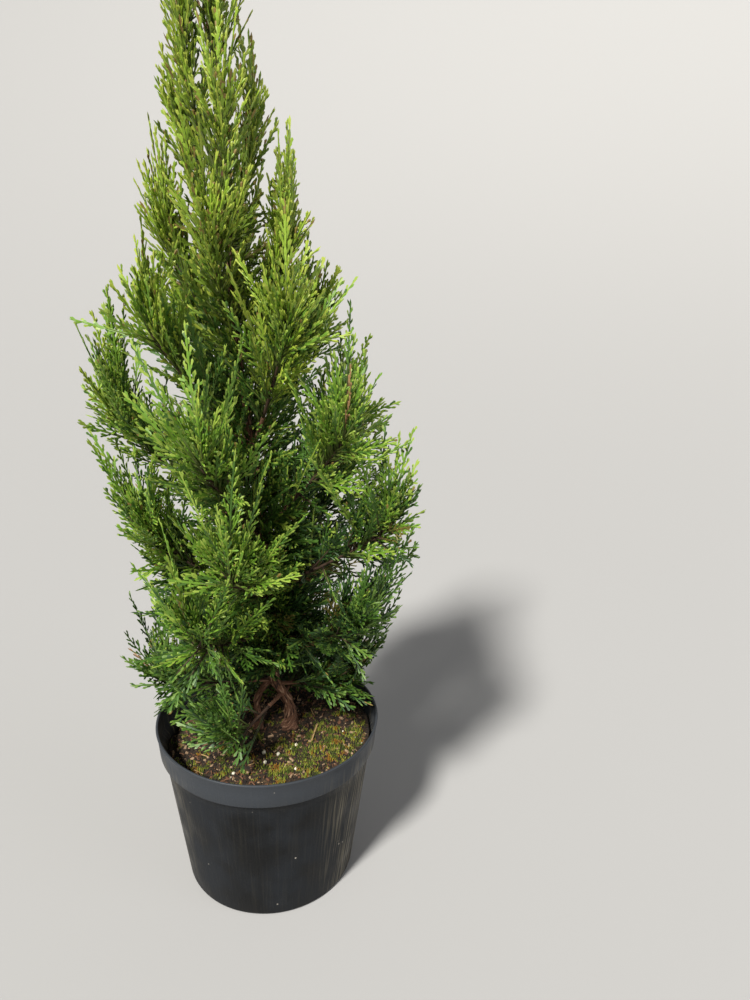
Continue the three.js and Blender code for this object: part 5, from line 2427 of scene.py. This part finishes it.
    def bits(
        self, luck: Generator, stick: Template, count: int, length: float, radius: float
    ) -> Array:
        """Lays short arched sticks on the soil, turned every way, clear of the pot's wall.

        Args:
            luck: the seeded generator.
            stick: the template of a stick.
            count: how many are tried.
            length: their mean length.
            radius: their radius.

        Returns:
            The places of their vertices.
        """
        long = length * (0.5 + luck.random((count, 1, 1)))
        local = stick.places[None] * np.array([1, radius, radius]) - MIDDLE
        local = local * np.concatenate([long, np.ones((count, 1, 2))], axis=2)
        local[:, :, 2] += self.arch * long[:, :, 0] * np.cos(np.pi * (stick.places[None, :, 0] - 0.5))
        turn = 2 * math.pi * luck.random(count)
        slope = np.sin(self.slope * luck.normal(size=count))
        axes = level_axes(unit(np.stack([np.cos(turn), np.sin(turn), slope], axis=1)))
        spots = self.scatter(luck, count, -self.bit_rise)
        most = self.pot.inner(SIZES.soil_level) - self.bit_room * long[:, 0, 0]
        keep = np.hypot(spots[:, 0], spots[:, 1]) < most
        return (np.einsum("cvk,ckj->cvj", local, axes) + spots[:, None])[keep]

    def moss(self) -> Object:
        """Joins the moss: low cushions of small pointed shoots, green, yellow and orange.

        Returns:
            The piece.
        """
        luck = default_rng(self.seed + 1)
        shape = bmesh.new()
        bmesh.ops.create_cone(shape, cap_ends=True, segments=4, radius1=1, radius2=0.15, depth=1)
        bmesh.ops.translate(shape, verts=shape.verts, vec=(0, 0, 0.5))
        template = Template(shape)
        joined = JoinedCopies()
        kinds = list(Litter)
        numbers = [kinds.index(kind) for kind in (Litter.MOSS, Litter.MOSS_BRIGHT, Litter.MOSS_ORANGE)]
        spots = self.scatter(luck, self.moss_tries, self.moss_sink)
        x, y = spots[:, 0], spots[:, 1]
        broad, fine, hue = self.moss_scales
        cover = level_noise(x, y, 5.0, broad) + 0.5 * level_noise(x, y, 8.0, fine)
        for at_x, at_y, spread, strength in self.patches:
            cover += strength * np.exp(-((x - at_x) ** 2 + (y - at_y) ** 2) / (2 * spread**2))
        mood = level_noise(x, y, 21.0, hue) + 0.16 * luck.normal(size=len(x))
        keep = cover > self.moss_from
        spots, cover, mood = spots[keep], cover[keep], mood[keep]
        count = len(spots)
        most, gain = self.cushion
        height = self.moss_height[0] + self.moss_height[1] * luck.random(count)
        height += np.minimum(most, gain * (cover - self.moss_from))
        lean = self.moss_lean * luck.normal(size=(count, 2))
        wide = np.full(count, self.moss_radius)
        places = template.places[None] * np.stack([wide, wide, height], axis=1)[:, None]
        places[:, :, :2] += places[:, :, 2:] * lean[:, None]
        slots = np.array(numbers)[np.searchsorted(self.moss_moods, mood, side="right")]
        joined.add(template, places + spots[:, None], slots)
        return dress(joined.piece("soil_moss", [kind.material() for kind in kinds]), "soil")


@dataclass(frozen=True)
class Lamp:
    """A soft lamp: name, kind, place, what it is aimed at, spread, power and colour.

    The spread of a far lamp (SUN) is the angle that it fills, in degrees, and its power is in
    W/m2. For a near one (AREA) they are its width in metres and watts.
    """

    name: str
    kind: str
    place: tuple[float, float, float]
    aim: tuple[float, float, float]
    spread: float
    power: float
    colour: str


@dataclass
class Studio:
    """A plain pale floor, soft lamps, and the camera. Its lengths are metres."""

    floor_radius: float = 1.0  # where the floor begins to rise
    sweep: float = 20.0  # the radius of its rise
    steepest: float = 50.0  # how steep it gets, in degrees
    steps: int = 32  # how many steps it rises in
    sides: int = 96
    paint: str = "#a8a7a5"  # the floor's colour
    air: str = "#e8eaee"  # the colour of the even light from all round
    air_power: float = 0.25  # the strength of that light
    eye: tuple[float, float, float] = (0.0, -0.6699, 0.6357)  # the camera's place
    pitch: float = 18.78  # how far it looks down, in degrees
    yaw: float = 8.91  # how far it looks to the right of +Y, in degrees
    roll: float = -1.48  # how far it is turned, in degrees
    focal: float = 0.751  # its focal length in frame heights
    lamps: tuple[Lamp, ...] = (
        Lamp("key", "SUN", (-1.7, -2.2, 3.4), (0, 0, 0.4), 9, 5.8, "#fffdf9"),
        Lamp("fill", "AREA", (2.4, -1.6, 1.6), (0, 0, 0.4), 2.0, 14, "#f2f5ff"),
    )

    def build(self) -> None:
        """Makes the floor, the light and the camera."""
        self.floor()
        for lamp in self.lamps:
            self.light(lamp)
        world = bpy.data.worlds.new("studio_air")
        world.use_nodes = True
        air = world.node_tree.nodes["Background"].inputs
        air["Color"].default_value, air["Strength"].default_value = linear(self.air), self.air_power
        bpy.context.scene.world = world
        bpy.context.scene.view_settings.view_transform = "Standard"
        self.camera()

    def floor(self) -> None:
        """Spins a floor whose far edge rises in a round sweep."""
        level, sweep = self.floor_radius / MM, self.sweep / MM
        rows = [(0.0, 0.0), (level, 0.0)]
        for step in range(1, self.steps + 1):
            turn = math.radians(self.steepest) * step / self.steps
            rows.append((level + sweep * math.sin(turn), sweep * (1 - math.cos(turn))))
        material, _ = new_material("matt_pale_paint", Base_Color=linear(self.paint), Roughness=0.9)
        piece_from_bmesh("studio_floor", spun(rows, self.sides), [material])

    def light(self, lamp: Lamp) -> None:
        """Adds one soft lamp, unseen by the camera.

        Args:
            lamp: its settings.
        """
        data = bpy.data.lights.new(lamp.name, lamp.kind)
        data.energy, data.color = lamp.power, linear(lamp.colour)[:3]
        if lamp.kind == "SUN":
            data.angle = math.radians(lamp.spread)
        else:
            data.shape, data.size = "DISK", lamp.spread
        made = linked(lamp.name, data)
        made.location = lamp.place
        ahead = Vector(lamp.aim) - Vector(lamp.place)
        made.rotation_euler = ahead.to_track_quat("-Z", "Y").to_euler()
        made.visible_camera = False

    def camera(self) -> None:
        """Sets the camera at the photograph's viewing angle."""
        pitch, yaw, roll = (math.radians(turn) for turn in (self.pitch, self.yaw, self.roll))
        ahead = Vector(
            (math.sin(yaw) * math.cos(pitch), math.cos(yaw) * math.cos(pitch), -math.sin(pitch))
        )
        level = Vector((math.cos(yaw), -math.sin(yaw), 0))
        down = ahead.cross(level)
        right = math.cos(roll) * level + math.sin(roll) * down
        up = math.sin(roll) * level - math.cos(roll) * down
        data = bpy.data.cameras.new("view")
        data.sensor_width = 36
        data.lens = self.focal * data.sensor_width
        camera = linked("view", data)
        turn = Matrix((right, up, -ahead)).transposed().to_4x4()
        camera.matrix_world = Matrix.Translation(self.eye) @ turn
        bpy.context.scene.camera = camera


def main() -> None:
    """Builds each part of the plant in order and reports it."""
    logging.basicConfig(level=logging.INFO, format="%(name)s %(message)s", stream=sys.stdout)
    pot = NurseryPot()
    pot.build()
    soil = PottingSoil(pot)
    soil.body()
    soil.litter()
    soil.moss()
    plans = plan_masses()
    wood = Wood()
    wood.standing("trunk", TRUNK, sides=22, steps=230)
    wood.standing("second_stem", SECOND_STEM, sides=16, steps=36)
    wood.boughs(plans)
    crown = Crown()
    crown.grow(plans, wood.bough_points(plans))
    crown.leaves()
    crown.twigs(plans)
    Studio().build()
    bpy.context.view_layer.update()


if __name__ == "__main__":
    main()
